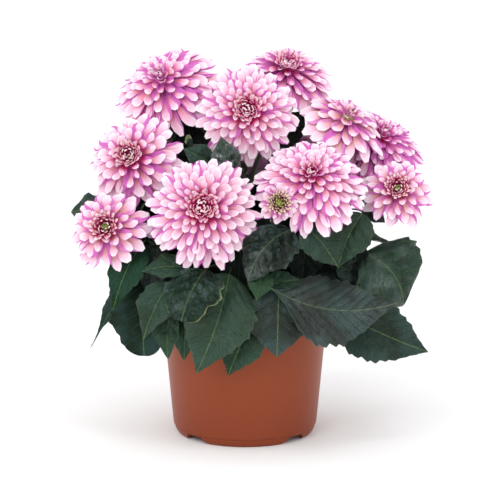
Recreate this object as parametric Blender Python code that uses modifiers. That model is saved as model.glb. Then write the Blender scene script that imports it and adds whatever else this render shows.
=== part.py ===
"""A potted dahlia: a plastic pot full of soil, leafy stems and double pink blooms.

Metres, +Z up. The origin is on the floor, under the pot's axis, and the plant's best side faces -Y.
"""

import math
import random
from collections import namedtuple

import bmesh
import bpy
from mathutils import Vector

# Driving dimensions of the pot
POT_HEIGHT = 0.150
RIM_RADIUS = 0.095
WALL_FOOT_RADIUS = 0.082
FLOOR_RADIUS = 0.0768
FOOT_HEIGHT = 0.0093
WALL = 0.002
LIP_HEIGHT = 0.012
LIP_PROUD = 0.002
STEP_IN = 0.0015
FOOT_WALL = 0.0035
POT_STEPS = 36
NOTCHES = 4
NOTCH_HALF_ANGLE = math.radians(9)
NOTCH_TOP_SHARE = 0.72
DRAIN_HOLES = 5
DRAIN_HOLE_RADIUS = 0.005
DRAIN_RING_RADIUS = 0.045
DRAIN_SIDES = 6

# Driving dimensions of the soil and of the holes that the stems stand in
SOIL_BELOW_RIM = 0.012
SOIL_CROWN = 0.004
SOIL_STEPS = 20
HOLE_DEPTH = 0.030
HOLE_CLEARANCE = 0.0007
HOLE_SIDES = 7
SEAT_GAP = 0.0003

# Driving dimensions of the stems
STEM_RADIUS = 0.0036
NECK_RADIUS = 0.0022
BRANCH_RADIUS = 0.0026
PETIOLE_RADIUS = 0.0015
PETIOLE_END_RADIUS = 0.0008
COLLAR = 0.008
STEM_POINTS = 6
STEM_RISE = 0.45
STEM_ARRIVAL = 0.22
BRANCH_SHARE = 0.22
BRANCH_RISE = 0.18
BRANCH_ARRIVAL = 0.35
PETIOLE_POINTS = 4
PETIOLE_RISE = 0.35
PETIOLE_CLIMB = 0.45
PETIOLE_IN_BLADE = 0.13
CALYX_HEIGHT_SHARE = 0.15
CALYX_RADIUS_SHARE = 0.13
BUD_CALYX_HEIGHT_SHARE = 0.30
BUD_CALYX_RADIUS_SHARE = 0.40
CALYX_OVERLAP = 0.7
CALYX_SIDES = 7

# Driving shares of a leaf blade
BLADE_THICKNESS = 0.0009
TOOTH_LENGTH = 0.024
LEAST_TEETH = 3
TOOTH_DEPTH = 0.16
TOOTH_LEAN = 0.72
BLADE_FOLD = 0.20
WAVE_SHARE = 0.05
WAVES = 2.5
WIDEST_POINT = 0.72
TAPER_AT_BASE = 0.8
TAPER_GAIN = 0.4

# Driving dimensions of a bloom: all but the first two are counts, or shares of its radius
FULL_BLOOM_RADIUS = 0.040
GOLDEN_ANGLE = math.radians(137.507764)
PETALS = 20
LEAST_PETALS = 6
LAYERING = 1.9
INNER_TIP = 0.28
ROOT_OUT = 0.05
ROOT_LOW = 0.06
ROOT_RISE = 0.20
ROOT_WIDTH = 0.08
BEND_OUT = 0.58
BEND_UP = 0.6
BEND_LIFT = 0.11
BEND_GAIN = 0.055
PETAL_WIDTH = 0.56
INNER_WIDTH = 0.30
PETAL_KEEL = 0.040
WIDEST = 0.68
DOME_HEIGHT = 0.46
DOME_SHAPE = 0.8
RIM_DROOP = 0.23
CORE_WIDTH = 0.27
CORE_HEIGHT = 0.41
CORE_SEGMENTS = 7
CORE_RINGS = 4

# The same shares for a closed bud, which an opening of 0 gives
BUD_SPREAD = 0.35
BUD_RIM = 0.90
BUD_CROWN = 1.25
BUD_CORE_HEIGHT = 0.80

# The rear foliage, which stands in tiers behind the stems
REAR_SEED = 7
REAR_TIERS = (0.170, 0.222, 0.276)
REAR_STAGGER = 0.008
REAR_LEAVES_A_TIER = 2
REAR_REACH = (0.062, 0.160)
REAR_TIER_OUT = 0.006
REAR_TIER_IN = 0.010
REAR_JITTER = 0.006
REAR_ARCH = 0.14
REAR_DROP = (0.045, 0.062)
REAR_WIDTH = 0.048

Bloom = namedtuple("Bloom", "seat facing radius opening neck", defaults=(1, None))
Leaf = namedtuple("Leaf", "base tip width arch face")
Stem = namedtuple("Stem", "foot blooms leaves rear_sector")

FRONT = (0.0, -1.0, 0.25)
FRONT_LEFT = (-0.5, -0.85, 0.2)
FRONT_RIGHT = (0.5, -0.85, 0.2)
FRONT_UP = (0.0, -0.75, 0.65)
LEFT = (-0.9, -0.3, 0.3)
UP = (0.0, -0.3, 0.95)

# Each bloom: its seat on the stem, the way it faces, its radius, how far it has opened, and the way
# its stem arrives where that isn't the way it faces
BLOOMS = {
    "bloom_top_left": Bloom((-0.090, 0.038, 0.386), (-0.15, -0.55, 0.82), 0.061),
    "bloom_top_back": Bloom((0.050, 0.054, 0.398), (0.15, -0.38, 0.91), 0.054),
    "bloom_centre_top": Bloom((0.002, -0.020, 0.364), (0.03, -0.90, 0.43), 0.058),
    "bloom_left": Bloom((-0.121, -0.029, 0.312), (-0.25, -0.85, 0.45), 0.056),
    "bloom_left_low": Bloom((-0.144, -0.071, 0.243), (-0.22, -0.88, 0.43), 0.047),
    "bloom_front_left": Bloom((-0.044, -0.090, 0.265), (0.00, -0.95, 0.31), 0.064),
    "bloom_front_right": Bloom((0.071, -0.074, 0.289), (0.00, -0.66, 0.75), 0.061),
    "bloom_right_top": Bloom((0.103, 0.006, 0.343), (0.35, -0.50, 0.79), 0.053),
    "bloom_right_back": Bloom((0.155, 0.056, 0.312), (0.33, -0.36, 0.87), 0.052),
    "bloom_right": Bloom((0.163, -0.040, 0.277), (0.08, -0.85, 0.52), 0.040),
    "bloom_half_open": Bloom(
        (0.032, -0.144, 0.292), (0.10, -0.93, 0.34), 0.0245, 0.75, (0.35, -0.62, 0.70)
    ),
    "bloom_back_left": Bloom((-0.062, 0.112, 0.322), (-0.35, 0.75, 0.56), 0.050),
    "bloom_back_right": Bloom((0.050, 0.120, 0.310), (0.25, 0.80, 0.55), 0.048),
    "bloom_back_low": Bloom((0.000, 0.130, 0.270), (0.00, 0.93, 0.37), 0.045),
    "bud": Bloom((-0.087, -0.050, 0.226), (-0.30, -0.50, 0.81), 0.012, 0),
}

# Each leafy stem: where it stands, its blooms, its leaves, and the sector of rear foliage that it bears
STEMS = {
    "leafy_stem_left": Stem(
        (-0.048, -0.028),
        ("bloom_left", "bloom_left_low", "bud"),
        (
            Leaf((-0.112, -0.056, 0.212), (-0.138, -0.086, 0.150), 0.044, 0.12, FRONT_LEFT),
            Leaf((-0.139, -0.035, 0.165), (-0.169, -0.040, 0.101), 0.034, 0.15, LEFT),
            Leaf((-0.119, -0.058, 0.174), (-0.112, -0.074, 0.103), 0.048, 0.10, FRONT_LEFT),
            Leaf((-0.101, -0.078, 0.206), (-0.074, -0.088, 0.196), 0.020, 0.10, UP),
            Leaf((-0.158, -0.022, 0.252), (-0.196, -0.012, 0.256), 0.038, 0.08, (-0.1, -0.8, 0.6)),
            Leaf((-0.079, -0.095, 0.169), (-0.108, -0.102, 0.127), 0.028, 0.10, FRONT),
            Leaf((-0.076, -0.088, 0.166), (-0.088, -0.090, 0.104), 0.032, 0.10, FRONT_LEFT),
            Leaf((-0.060, -0.088, 0.164), (-0.064, -0.097, 0.101), 0.030, 0.10, FRONT),
        ),
        None,
    ),
    "leafy_stem_top_left": Stem(
        (-0.044, 0.024),
        ("bloom_top_left",),
        (),
        (117, 168),
    ),
    "leafy_stem_front": Stem(
        (-0.016, -0.046),
        ("bloom_front_left",),
        (
            Leaf((-0.012, -0.090, 0.188), (-0.051, -0.116, 0.092), 0.074, 0.14, FRONT),
            Leaf((-0.040, -0.096, 0.204), (-0.063, -0.126, 0.151), 0.060, 0.14, FRONT_LEFT),
            Leaf((0.006, -0.099, 0.162), (-0.018, -0.108, 0.088), 0.046, 0.08, FRONT),
        ),
        None,
    ),
    "leafy_stem_centre": Stem(
        (0.002, 0.012),
        ("bloom_centre_top", "bloom_top_back"),
        (
            Leaf((-0.018, -0.052, 0.300), (-0.026, -0.050, 0.344), 0.030, 0.08, FRONT),
            Leaf((-0.036, -0.036, 0.312), (-0.066, -0.030, 0.328), 0.024, 0.08, FRONT),
            Leaf((-0.012, 0.022, 0.372), (-0.021, 0.022, 0.411), 0.014, 0.06, FRONT),
        ),
        None,
    ),
    "leafy_stem_front_right": Stem(
        (0.026, -0.044),
        ("bloom_front_right", "bloom_half_open"),
        (
            Leaf((0.028, -0.108, 0.184), (0.158, -0.100, 0.166), 0.084, -0.07, FRONT_UP),
            Leaf((0.040, -0.108, 0.184), (0.033, -0.124, 0.112), 0.062, 0.12, FRONT),
            Leaf((0.045, -0.108, 0.246), (0.004, -0.122, 0.198), 0.048, 0.14, FRONT_LEFT),
            Leaf((0.064, -0.090, 0.242), (0.096, -0.094, 0.208), 0.046, 0.12, FRONT_RIGHT),
            Leaf((0.028, -0.110, 0.200), (0.018, -0.118, 0.174), 0.023, 0.08, FRONT),
        ),
        None,
    ),
    "leafy_stem_right": Stem(
        (0.056, -0.014),
        ("bloom_right_top", "bloom_right"),
        (
            Leaf((0.096, -0.074, 0.163), (0.194, -0.070, 0.108), 0.056, 0.08, FRONT),
            Leaf((0.130, -0.050, 0.222), (0.173, -0.042, 0.160), 0.078, 0.12, FRONT_RIGHT),
            Leaf((0.118, -0.056, 0.249), (0.100, -0.072, 0.202), 0.038, 0.12, FRONT),
            Leaf((0.128, -0.036, 0.264), (0.153, -0.034, 0.242), 0.024, 0.10, FRONT_RIGHT),
        ),
        None,
    ),
    "leafy_stem_right_back": Stem(
        (0.050, 0.026),
        ("bloom_right_back",),
        (),
        (15, 66),
    ),
    "leafy_stem_back": Stem(
        (-0.004, 0.052),
        ("bloom_back_low", "bloom_back_left", "bloom_back_right"),
        (),
        (66, 117),
    ),
}


def material(name, colour, roughness):
    made = bpy.data.materials.new(name)
    made.use_nodes = True
    shader = made.node_tree.nodes["Principled BSDF"]
    shader.inputs["Base Color"].default_value = (*colour, 1)
    shader.inputs["Roughness"].default_value = roughness
    shader.inputs["Metallic"].default_value = 0
    made.diffuse_color = (*colour, 1)
    return made


def collection(name):
    made = bpy.data.collections.new(name)
    bpy.context.scene.collection.children.link(made)
    return made


def mesh_object(name, shape, group):
    """A new object in the group from a bmesh, which is then freed."""
    bmesh.ops.recalc_face_normals(shape, faces=shape.faces)
    mesh = bpy.data.meshes.new(name)
    shape.to_mesh(mesh)
    shape.free()
    made = bpy.data.objects.new(name, mesh)
    group.objects.link(made)
    return made


def square_to(axis, towards):
    """The part of towards that is square to the axis, at unit length."""
    towards = Vector(towards)
    return (towards - axis * axis.dot(towards)).normalized()


def bezier(points, count):
    """Points along a cubic Bezier curve."""
    a, b, c, d = (Vector(point) for point in points)
    line = []
    for step in range(count):
        t = step / (count - 1)
        u = 1 - t
        line.append(a * u**3 + b * (3 * u * u * t) + c * (3 * u * t * t) + d * t**3)
    return line


def tube(name, line, first_radius, last_radius, resolution, group):
    """A tapering tube along the line, as a closed mesh."""
    curve = bpy.data.curves.new(name, "CURVE")
    curve.dimensions = "3D"
    curve.bevel_depth = 1
    curve.bevel_resolution = resolution
    curve.use_fill_caps = True
    spline = curve.splines.new("POLY")
    spline.points.add(len(line) - 1)
    for step, place in enumerate(line):
        share = step / (len(line) - 1)
        spline.points[step].co = (*place, 1)
        spline.points[step].radius = first_radius + (last_radius - first_radius) * share
    guide = bpy.data.objects.new(name + "_guide", curve)
    group.objects.link(guide)
    graph = bpy.context.evaluated_depsgraph_get()
    mesh = bpy.data.meshes.new_from_object(guide.evaluated_get(graph))
    made = bpy.data.objects.new(name, mesh)
    made.matrix_world = guide.matrix_world
    group.objects.link(made)
    bpy.data.objects.remove(guide)
    shape = bmesh.new()
    shape.from_mesh(mesh)
    bmesh.ops.remove_doubles(shape, verts=shape.verts, dist=0.00001)
    bmesh.ops.recalc_face_normals(shape, faces=shape.faces)
    shape.to_mesh(mesh)
    shape.free()
    return made


def turned(name, profile, steps, group):
    """A solid of revolution. Its profile runs from the axis, down its outer side and back to the axis."""
    mesh = bpy.data.meshes.new(name)
    points = [(radius, 0, height) for radius, height in profile]
    edges = [(i, i + 1) for i in range(len(points) - 1)]
    mesh.from_pydata(points, edges, [])
    made = bpy.data.objects.new(name, mesh)
    group.objects.link(made)
    screw = made.modifiers.new("turn", "SCREW")
    screw.steps = steps
    screw.render_steps = steps
    screw.use_merge_vertices = True
    screw.merge_threshold = 0.00001
    return made


def pillar(name, x, y, low, high, radius, sides, group):
    """An upright prism, for cutting a round hole."""
    shape = bmesh.new()
    bmesh.ops.create_cone(
        shape,
        cap_ends=True,
        segments=sides,
        radius1=radius,
        radius2=radius,
        depth=high - low,
    )
    made = mesh_object(name, shape, group)
    made.location = (x, y, (low + high) / 2)
    return made


def islands(shape):
    """The faces of a bmesh, in lists of faces that hang together."""
    found = []
    unseen = set(shape.faces)
    while unseen:
        island = [unseen.pop()]
        for face in island:
            for edge in face.edges:
                for other in edge.link_faces:
                    if other in unseen:
                        unseen.remove(other)
                        island.append(other)
        found.append(island)
    return found


def volume_inside(island):
    """Above zero for a solid's outer skin, and below zero for the skin of a sealed hollow."""
    total = 0
    for face in island:
        first, *others = (corner.co for corner in face.verts)
        for second, third in zip(others, others[1:]):
            total += first.dot(second.cross(third)) / 6
    return total


def keep_outer_skin(mesh):
    """Fills the sealed hollows that a union leaves, and drops its loose scraps."""
    shape = bmesh.new()
    shape.from_mesh(mesh)
    found = islands(shape)
    found.sort(key=volume_inside)
    for island in found[:-1]:
        corners = {corner for face in island for corner in face.verts}
        bmesh.ops.delete(shape, geom=list(corners), context="VERTS")
    shape.to_mesh(mesh)
    shape.free()


def fuse(first, others):
    """Joins a collection's objects to the first object by one Boolean union, and removes them."""
    union = first.modifiers.new("union", "BOOLEAN")
    union.operation = "UNION"
    union.solver = "MANIFOLD"
    union.operand_type = "COLLECTION"
    union.collection = others
    graph = bpy.context.evaluated_depsgraph_get()
    mesh = bpy.data.meshes.new_from_object(first.evaluated_get(graph))
    first.modifiers.clear()
    first.data = mesh
    for joined in list(others.objects):
        bpy.data.objects.remove(joined)
    bpy.data.collections.remove(others)
    keep_outer_skin(mesh)


def cut(solid, cutters):
    """Leaves a Boolean difference with a collection's objects on the solid."""
    difference = solid.modifiers.new("cut", "BOOLEAN")
    difference.operation = "DIFFERENCE"
    difference.operand_type = "COLLECTION"
    difference.collection = cutters
    for cutter in cutters.objects:
        cutter.hide_render = True
        cutter.display_type = "WIRE"


def finish(solid, name, colour, roughness, sharp_angle=40):
    solid.data.materials.clear()
    solid.data.materials.append(material(name, colour, roughness))
    solid.data.shade_smooth()
    solid.data.set_sharp_from_angle(angle=math.radians(sharp_angle))


def wall_radius(height):
    """The pot wall's outer radius at a height above the floor."""
    share = (height - FOOT_HEIGHT) / (POT_HEIGHT - FOOT_HEIGHT)
    return WALL_FOOT_RADIUS + (RIM_RADIUS - WALL_FOOT_RADIUS) * share


def cut_notch(angle, cutters):
    """A wedge with slanting sides that opens one drain notch in the ring foot."""
    half = FLOOR_RADIUS * math.sin(NOTCH_HALF_ANGLE)
    depth = 6 * FOOT_WALL
    height = 2 * (FOOT_HEIGHT - WALL)
    shape = bmesh.new()
    bmesh.ops.create_cube(shape, size=1)
    for corner in shape.verts:
        corner.co.x *= depth
        corner.co.y *= 2 * half
        corner.co.z *= height
        if corner.co.z > 0:
            corner.co.y *= NOTCH_TOP_SHARE
    made = mesh_object("notch_cutter", shape, cutters)
    made.location = (FLOOR_RADIUS * math.cos(angle), FLOOR_RADIUS * math.sin(angle), 0)
    made.rotation_euler.z = angle


def make_pot(group):
    """The thin pot: a lip, a tapering wall, a small step, and a notched ring foot round a drained floor."""
    lip_low = POT_HEIGHT - LIP_HEIGHT
    floor_low = FOOT_HEIGHT - WALL
    profile = [
        (0, FOOT_HEIGHT),
        (WALL_FOOT_RADIUS - WALL, FOOT_HEIGHT),
        (RIM_RADIUS - WALL, POT_HEIGHT),
        (RIM_RADIUS + LIP_PROUD, POT_HEIGHT),
        (RIM_RADIUS + LIP_PROUD, lip_low),
        (wall_radius(lip_low), lip_low),
        (WALL_FOOT_RADIUS, FOOT_HEIGHT),
        (WALL_FOOT_RADIUS - STEP_IN, FOOT_HEIGHT - STEP_IN / 2),
        (FLOOR_RADIUS, 0),
        (FLOOR_RADIUS - FOOT_WALL, 0),
        (FLOOR_RADIUS - FOOT_WALL, floor_low),
        (0, floor_low),
    ]
    pot = turned("pot", profile, POT_STEPS, group)
    cutters = collection("pot cutters")
    for notch in range(NOTCHES):
        cut_notch(math.tau * (notch + 0.5) / NOTCHES, cutters)
    for hole in range(DRAIN_HOLES):
        angle = math.tau * (hole + 0.25) / DRAIN_HOLES
        x = DRAIN_RING_RADIUS * math.cos(angle)
        y = DRAIN_RING_RADIUS * math.sin(angle)
        pillar("drain_cutter", x, y, 0, 2 * FOOT_HEIGHT, DRAIN_HOLE_RADIUS, DRAIN_SIDES, cutters)
    cut(pot, cutters)
    finish(pot, "terracotta plastic", (0.31, 0.075, 0.038), 0.45)


def soil_height(radius):
    """The height of the crowned soil at a distance from the pot's axis."""
    return POT_HEIGHT - SOIL_BELOW_RIM + SOIL_CROWN * (1 - (radius / RIM_RADIUS) ** 2)


def make_soil(group):
    """The soil that fills the pot, with a plain hole for each stem."""
    low = FOOT_HEIGHT + SEAT_GAP
    high = POT_HEIGHT - SOIL_BELOW_RIM
    clear = WALL + SEAT_GAP * 1.5
    profile = [
        (0, soil_height(0)),
        (RIM_RADIUS / 2, soil_height(RIM_RADIUS / 2)),
        (wall_radius(high) - clear, high),
        (WALL_FOOT_RADIUS - clear, low),
        (0, low),
    ]
    soil = turned("soil", profile, SOIL_STEPS, group)
    cutters = collection("soil cutters")
    for stem in STEMS.values():
        x, y = stem.foot
        top = soil_height(math.hypot(x, y))
        radius = STEM_RADIUS + HOLE_CLEARANCE
        pillar("hole_cutter", x, y, top - HOLE_DEPTH, POT_HEIGHT, radius, HOLE_SIDES, cutters)
    cut(soil, cutters)
    finish(soil, "potting soil", (0.035, 0.020, 0.013), 0.95)


def mix(at_nought, at_one, share):
    return at_nought + (at_one - at_nought) * share


def petal(bloom, share, angle, group):
    """One petal as a keeled blade. Share runs from 0 on the outermost petal to 1 on the innermost."""
    radius = bloom.radius
    inward = share**LAYERING
    reach = mix(radius, radius * INNER_TIP, inward)
    rim = mix(BUD_RIM, -RIM_DROOP, bloom.opening)
    crown = mix(BUD_CROWN, DOME_HEIGHT, bloom.opening)
    root = Vector((ROOT_OUT, 0, ROOT_LOW + ROOT_RISE * inward)) * radius
    spread = mix(BUD_SPREAD, 1, bloom.opening)
    tip = Vector((reach * spread, 0, radius * mix(rim, crown, inward**DOME_SHAPE)))
    lift = radius * (BEND_LIFT + BEND_GAIN * inward)
    bend = Vector((tip.x * BEND_OUT, 0, max(tip.z, root.z) * BEND_UP + lift))
    widest = PETAL_WIDTH * mix(INNER_WIDTH, 1, reach / radius)
    shape = bmesh.new()
    rings = []
    for t, width in ((0, ROOT_WIDTH), (WIDEST, widest)):
        middle = root * (1 - t) ** 2 + bend * (2 * t * (1 - t)) + tip * t * t
        along = ((bend - root) * (1 - t) + (tip - bend) * t).normalized()
        below = Vector((along.z, 0, -along.x)) * radius * PETAL_KEEL
        side = Vector((0, radius * width / 2, 0))
        rings.append([shape.verts.new(middle + offset) for offset in (side, below, -side)])
    point = shape.verts.new(tip)
    inner, outer = rings
    for i in range(3):
        j = (i + 1) % 3
        shape.faces.new((inner[i], inner[j], outer[j]))
        shape.faces.new((inner[i], outer[j], outer[i]))
        shape.faces.new((outer[i], outer[j], point))
    shape.faces.new(inner)
    made = mesh_object("petal", shape, group)
    made.rotation_euler.z = angle
    return made


def make_bloom(name, bloom, phase, group):
    """A double bloom: layers of petals round a smaller core, set on its stem and turned to face its way."""
    shape = bmesh.new()
    bmesh.ops.create_uvsphere(shape, u_segments=CORE_SEGMENTS, v_segments=CORE_RINGS, radius=1)
    height = bloom.radius * mix(BUD_CORE_HEIGHT, CORE_HEIGHT, bloom.opening) / 2
    width = bloom.radius * CORE_WIDTH
    for corner in shape.verts:
        corner.co.x *= width
        corner.co.y *= width
        corner.co.z = (corner.co.z + 1) * height
    flower = mesh_object(name, shape, group)
    petals = collection("petals of " + name)
    count = max(LEAST_PETALS, round(PETALS * min(1, bloom.radius / FULL_BLOOM_RADIUS)))
    for step in range(count):
        petal(bloom, step / (count - 1), step * GOLDEN_ANGLE + phase, petals)
    fuse(flower, petals)
    flower.location = bloom.seat
    flower.rotation_mode = "QUATERNION"
    flower.rotation_quaternion = Vector(bloom.facing).to_track_quat("Z", "Y")
    finish(flower, "petals of " + name, (0.80, 0.40, 0.58), 0.55, 25)


def leaf_blade(leaf, group):
    """A toothed blade with a folded midrib and waved edges, split into triangles alike on both faces."""
    base = Vector(leaf.base)
    run = Vector(leaf.tip) - base
    length = run.length
    along = run.normalized()
    face = square_to(along, leaf.face)
    side = along.cross(face)
    teeth = max(LEAST_TEETH, round(length / TOOTH_LENGTH))

    def place(s, hand, grown):
        taper = math.sin(math.pi * s**WIDEST_POINT) ** (TAPER_AT_BASE + TAPER_GAIN * s)
        half = hand * leaf.width / 2 * taper * grown
        arch = leaf.arch * length * 4 * s * (1 - s)
        fold = BLADE_FOLD * abs(half)
        wave = WAVE_SHARE * 2 * half * math.sin(math.tau * WAVES * s)
        return base + run * s + side * half + face * (arch + fold + wave)

    shape = bmesh.new()
    rib = [shape.verts.new(place(step / teeth, 0, 0)) for step in range(teeth + 1)]
    for hand in (-1, 1):
        notch = rib[0]
        for step in range(teeth):
            point = shape.verts.new(place((step + TOOTH_LEAN) / teeth, hand, 1 + TOOTH_DEPTH / 2))
            if step > 0:
                shape.faces.new((rib[step], notch, point))
            shape.faces.new((rib[step], point, rib[step + 1]))
            if step < teeth - 1:
                notch = shape.verts.new(place((step + 1) / teeth, hand, 1 - TOOTH_DEPTH / 2))
                shape.faces.new((rib[step + 1], point, notch))
    bmesh.ops.recalc_face_normals(shape, faces=shape.faces)
    blade = mesh_object("blade", shape, group)
    solidify = blade.modifiers.new("thickness", "SOLIDIFY")
    solidify.thickness = BLADE_THICKNESS
    solidify.offset = 0
    return blade


def stalk_root(line, base):
    """The point of a stem's line that a leaf's stalk grows from, which is lower than the leaf."""
    height = base.z - PETIOLE_CLIMB * (base - line[2]).xy.length
    for here, there in zip(line[2:], line[3:]):
        if here.z <= height <= there.z:
            return here.lerp(there, (height - here.z) / (there.z - here.z))
    return line[2]


def grow_leaf(leaf, line, group):
    """A blade and the stalk that carries it from the stem."""
    leaf_blade(leaf, group)
    base = Vector(leaf.base)
    run = Vector(leaf.tip) - base
    lift = leaf.arch * run.length * 4 * PETIOLE_IN_BLADE * (1 - PETIOLE_IN_BLADE)
    inside = base + run * PETIOLE_IN_BLADE + square_to(run.normalized(), leaf.face) * lift
    root = stalk_root(line, base)
    rise = Vector((0, 0, PETIOLE_RISE * (base - root).length))
    ends = (root, root.lerp(base, 1 / 3) + rise, 2 * base - inside, base)
    path = bezier(ends, PETIOLE_POINTS)
    path.append(inside)
    tube("petiole", path, PETIOLE_RADIUS, PETIOLE_END_RADIUS, 0, group)


def rear_leaves(sector, draw):
    """Leaves that hang in tiers round the back of the plant, over a sector given in degrees."""
    leaves = []
    for tier, height in enumerate(REAR_TIERS):
        for step in range(REAR_LEAVES_A_TIER):
            share = (step + 0.5) / REAR_LEAVES_A_TIER
            degrees = sector[0] + (sector[1] - sector[0]) * share
            angle = math.radians(degrees + draw.uniform(-1, 1))
            outward = Vector((math.cos(angle), math.sin(angle), 0))
            near = REAR_REACH[0] + REAR_TIER_OUT * tier
            far = REAR_REACH[1] - REAR_TIER_IN * tier + draw.uniform(-REAR_JITTER, REAR_JITTER)
            base = outward * near + Vector((0, 0, height + REAR_STAGGER * (step % 2)))
            tip = outward * far
            tip.z = base.z - draw.uniform(*REAR_DROP)
            width = REAR_WIDTH * draw.uniform(0.9, 1)
            leaves.append(Leaf(base, tip, width, REAR_ARCH, (0, 0, 1)))
    return leaves


def calyx_under(bloom, group):
    """The green cup that a bloom sits on. Returns the point low in it where the stem ends."""
    facing = Vector(bloom.facing).normalized()
    height = bloom.radius * mix(BUD_CALYX_HEIGHT_SHARE, CALYX_HEIGHT_SHARE, bloom.opening)
    top = Vector(bloom.seat) - facing * SEAT_GAP
    shape = bmesh.new()
    bmesh.ops.create_cone(
        shape,
        cap_ends=True,
        segments=CALYX_SIDES,
        radius1=NECK_RADIUS,
        radius2=bloom.radius * mix(BUD_CALYX_RADIUS_SHARE, CALYX_RADIUS_SHARE, bloom.opening),
        depth=height,
    )
    cup = mesh_object("calyx", shape, group)
    cup.location = top - facing * height / 2
    cup.rotation_mode = "QUATERNION"
    cup.rotation_quaternion = facing.to_track_quat("Z", "Y")
    return top - facing * height * CALYX_OVERLAP


def make_leafy_stem(name, stem, draw, group):
    """A stem with its side branches, stalks and leaves, grown as one piece."""
    x, y = stem.foot
    top = soil_height(math.hypot(x, y))
    foot = Vector((x, y, top - HOLE_DEPTH + SEAT_GAP))
    collar = Vector((x, y, top + COLLAR))
    parts = collection("parts of " + name)
    line = None
    for bloom in (BLOOMS[bloom_name] for bloom_name in stem.blooms):
        neck = calyx_under(bloom, parts)
        arrival = Vector(bloom.neck or bloom.facing).normalized()
        if line is None:
            reach = (neck - collar).length
            rise = Vector((0, 0, reach * STEM_RISE))
            ends = (collar, collar + rise, neck - arrival * reach * STEM_ARRIVAL, neck)
            line = [foot] + bezier(ends, STEM_POINTS)
            solid = tube(name, line, STEM_RADIUS, NECK_RADIUS, 1, group)
        else:
            fork = line[2].lerp(line[-1], BRANCH_SHARE)
            root = min(line[2:-1], key=lambda point: (point - fork).length)
            reach = (neck - root).length
            rise = Vector((0, 0, reach * BRANCH_RISE))
            ends = (root, root + rise, neck - arrival * reach * BRANCH_ARRIVAL, neck)
            tube("branch", bezier(ends, STEM_POINTS), BRANCH_RADIUS, NECK_RADIUS, 1, parts)
    leaves = list(stem.leaves)
    if stem.rear_sector:
        leaves += rear_leaves(stem.rear_sector, draw)
    for leaf in leaves:
        grow_leaf(leaf, line, parts)
    fuse(solid, parts)
    finish(solid, "leaves of " + name, (0.055, 0.085, 0.060), 0.5, 25)


def main():
    for old in list(bpy.data.objects):
        bpy.data.objects.remove(old)
    plant = collection("potted dahlia")
    make_pot(plant)
    make_soil(plant)
    draw = random.Random(REAR_SEED)
    for name, stem in STEMS.items():
        make_leafy_stem(name, stem, draw, plant)
    for phase, (name, bloom) in enumerate(BLOOMS.items()):
        make_bloom(name, bloom, phase, plant)


main()
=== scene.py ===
"""The looks of a potted dahlia: fine petals, veined leaves, crumbly soil and a moulded plastic pot.

Metres, +Z up. The origin is on the floor, under the pot's axis, and the plant's best side faces -Y.
"""

import random
from collections import namedtuple
from math import atan, cos, hypot, pi, radians, sin, sqrt, tau

import bpy
import numpy as np
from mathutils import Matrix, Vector, noise


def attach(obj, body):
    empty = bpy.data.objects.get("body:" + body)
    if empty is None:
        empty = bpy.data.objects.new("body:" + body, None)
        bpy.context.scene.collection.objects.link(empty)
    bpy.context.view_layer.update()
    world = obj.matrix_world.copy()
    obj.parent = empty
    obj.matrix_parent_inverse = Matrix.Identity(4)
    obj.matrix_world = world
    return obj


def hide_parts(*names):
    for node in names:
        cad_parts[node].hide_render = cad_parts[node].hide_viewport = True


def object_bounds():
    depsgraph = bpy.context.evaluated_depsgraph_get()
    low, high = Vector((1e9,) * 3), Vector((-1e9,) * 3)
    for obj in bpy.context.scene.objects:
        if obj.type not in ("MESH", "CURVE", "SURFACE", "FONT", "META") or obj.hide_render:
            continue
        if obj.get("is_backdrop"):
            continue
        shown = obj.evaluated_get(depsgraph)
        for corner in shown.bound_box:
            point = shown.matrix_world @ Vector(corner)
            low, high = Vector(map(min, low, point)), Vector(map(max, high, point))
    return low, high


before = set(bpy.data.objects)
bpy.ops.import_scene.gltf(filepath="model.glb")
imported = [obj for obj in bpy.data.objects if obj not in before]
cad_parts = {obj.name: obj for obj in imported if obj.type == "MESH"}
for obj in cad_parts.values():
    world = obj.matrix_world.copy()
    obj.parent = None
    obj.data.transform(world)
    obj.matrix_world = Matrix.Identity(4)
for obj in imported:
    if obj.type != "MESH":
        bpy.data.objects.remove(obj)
CAD_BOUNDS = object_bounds()

# The camera, from the photograph: its size, its scale at the pot's axis, and the height it looks at
PHOTO_PIXELS = 490
PIXELS_A_METRE = 885
CAMERA_DISTANCE = 1.8
CAMERA_RISE = radians(9.46)
CAMERA_AIM = 0.2137

# Driving dimensions of the pot
POT_HEIGHT = 0.150
RIM_RADIUS = 0.095
WALL_FOOT_RADIUS = 0.082
FLOOR_RADIUS = 0.0768
FOOT_HEIGHT = 0.0093
WALL = 0.002
LIP_HEIGHT = 0.012
LIP_PROUD = 0.002
STEP_IN = 0.0015
FOOT_WALL = 0.0035
POT_STEPS = 180
NOTCHES = 4
NOTCH_HALF_TOP = radians(7)
NOTCH_HALF_FOOT = radians(13)
DRAIN_HOLES = 5
DRAIN_HOLE_RADIUS = 0.005
DRAIN_RING_RADIUS = 0.045
EDGE_ROUND = 0.0008
FOOT_ROUND = 0.0006
FOOT_BULGE = 0.0011
CORNER_ROUND = 0.002
CORNER_CLEAR = 0.003

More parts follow.
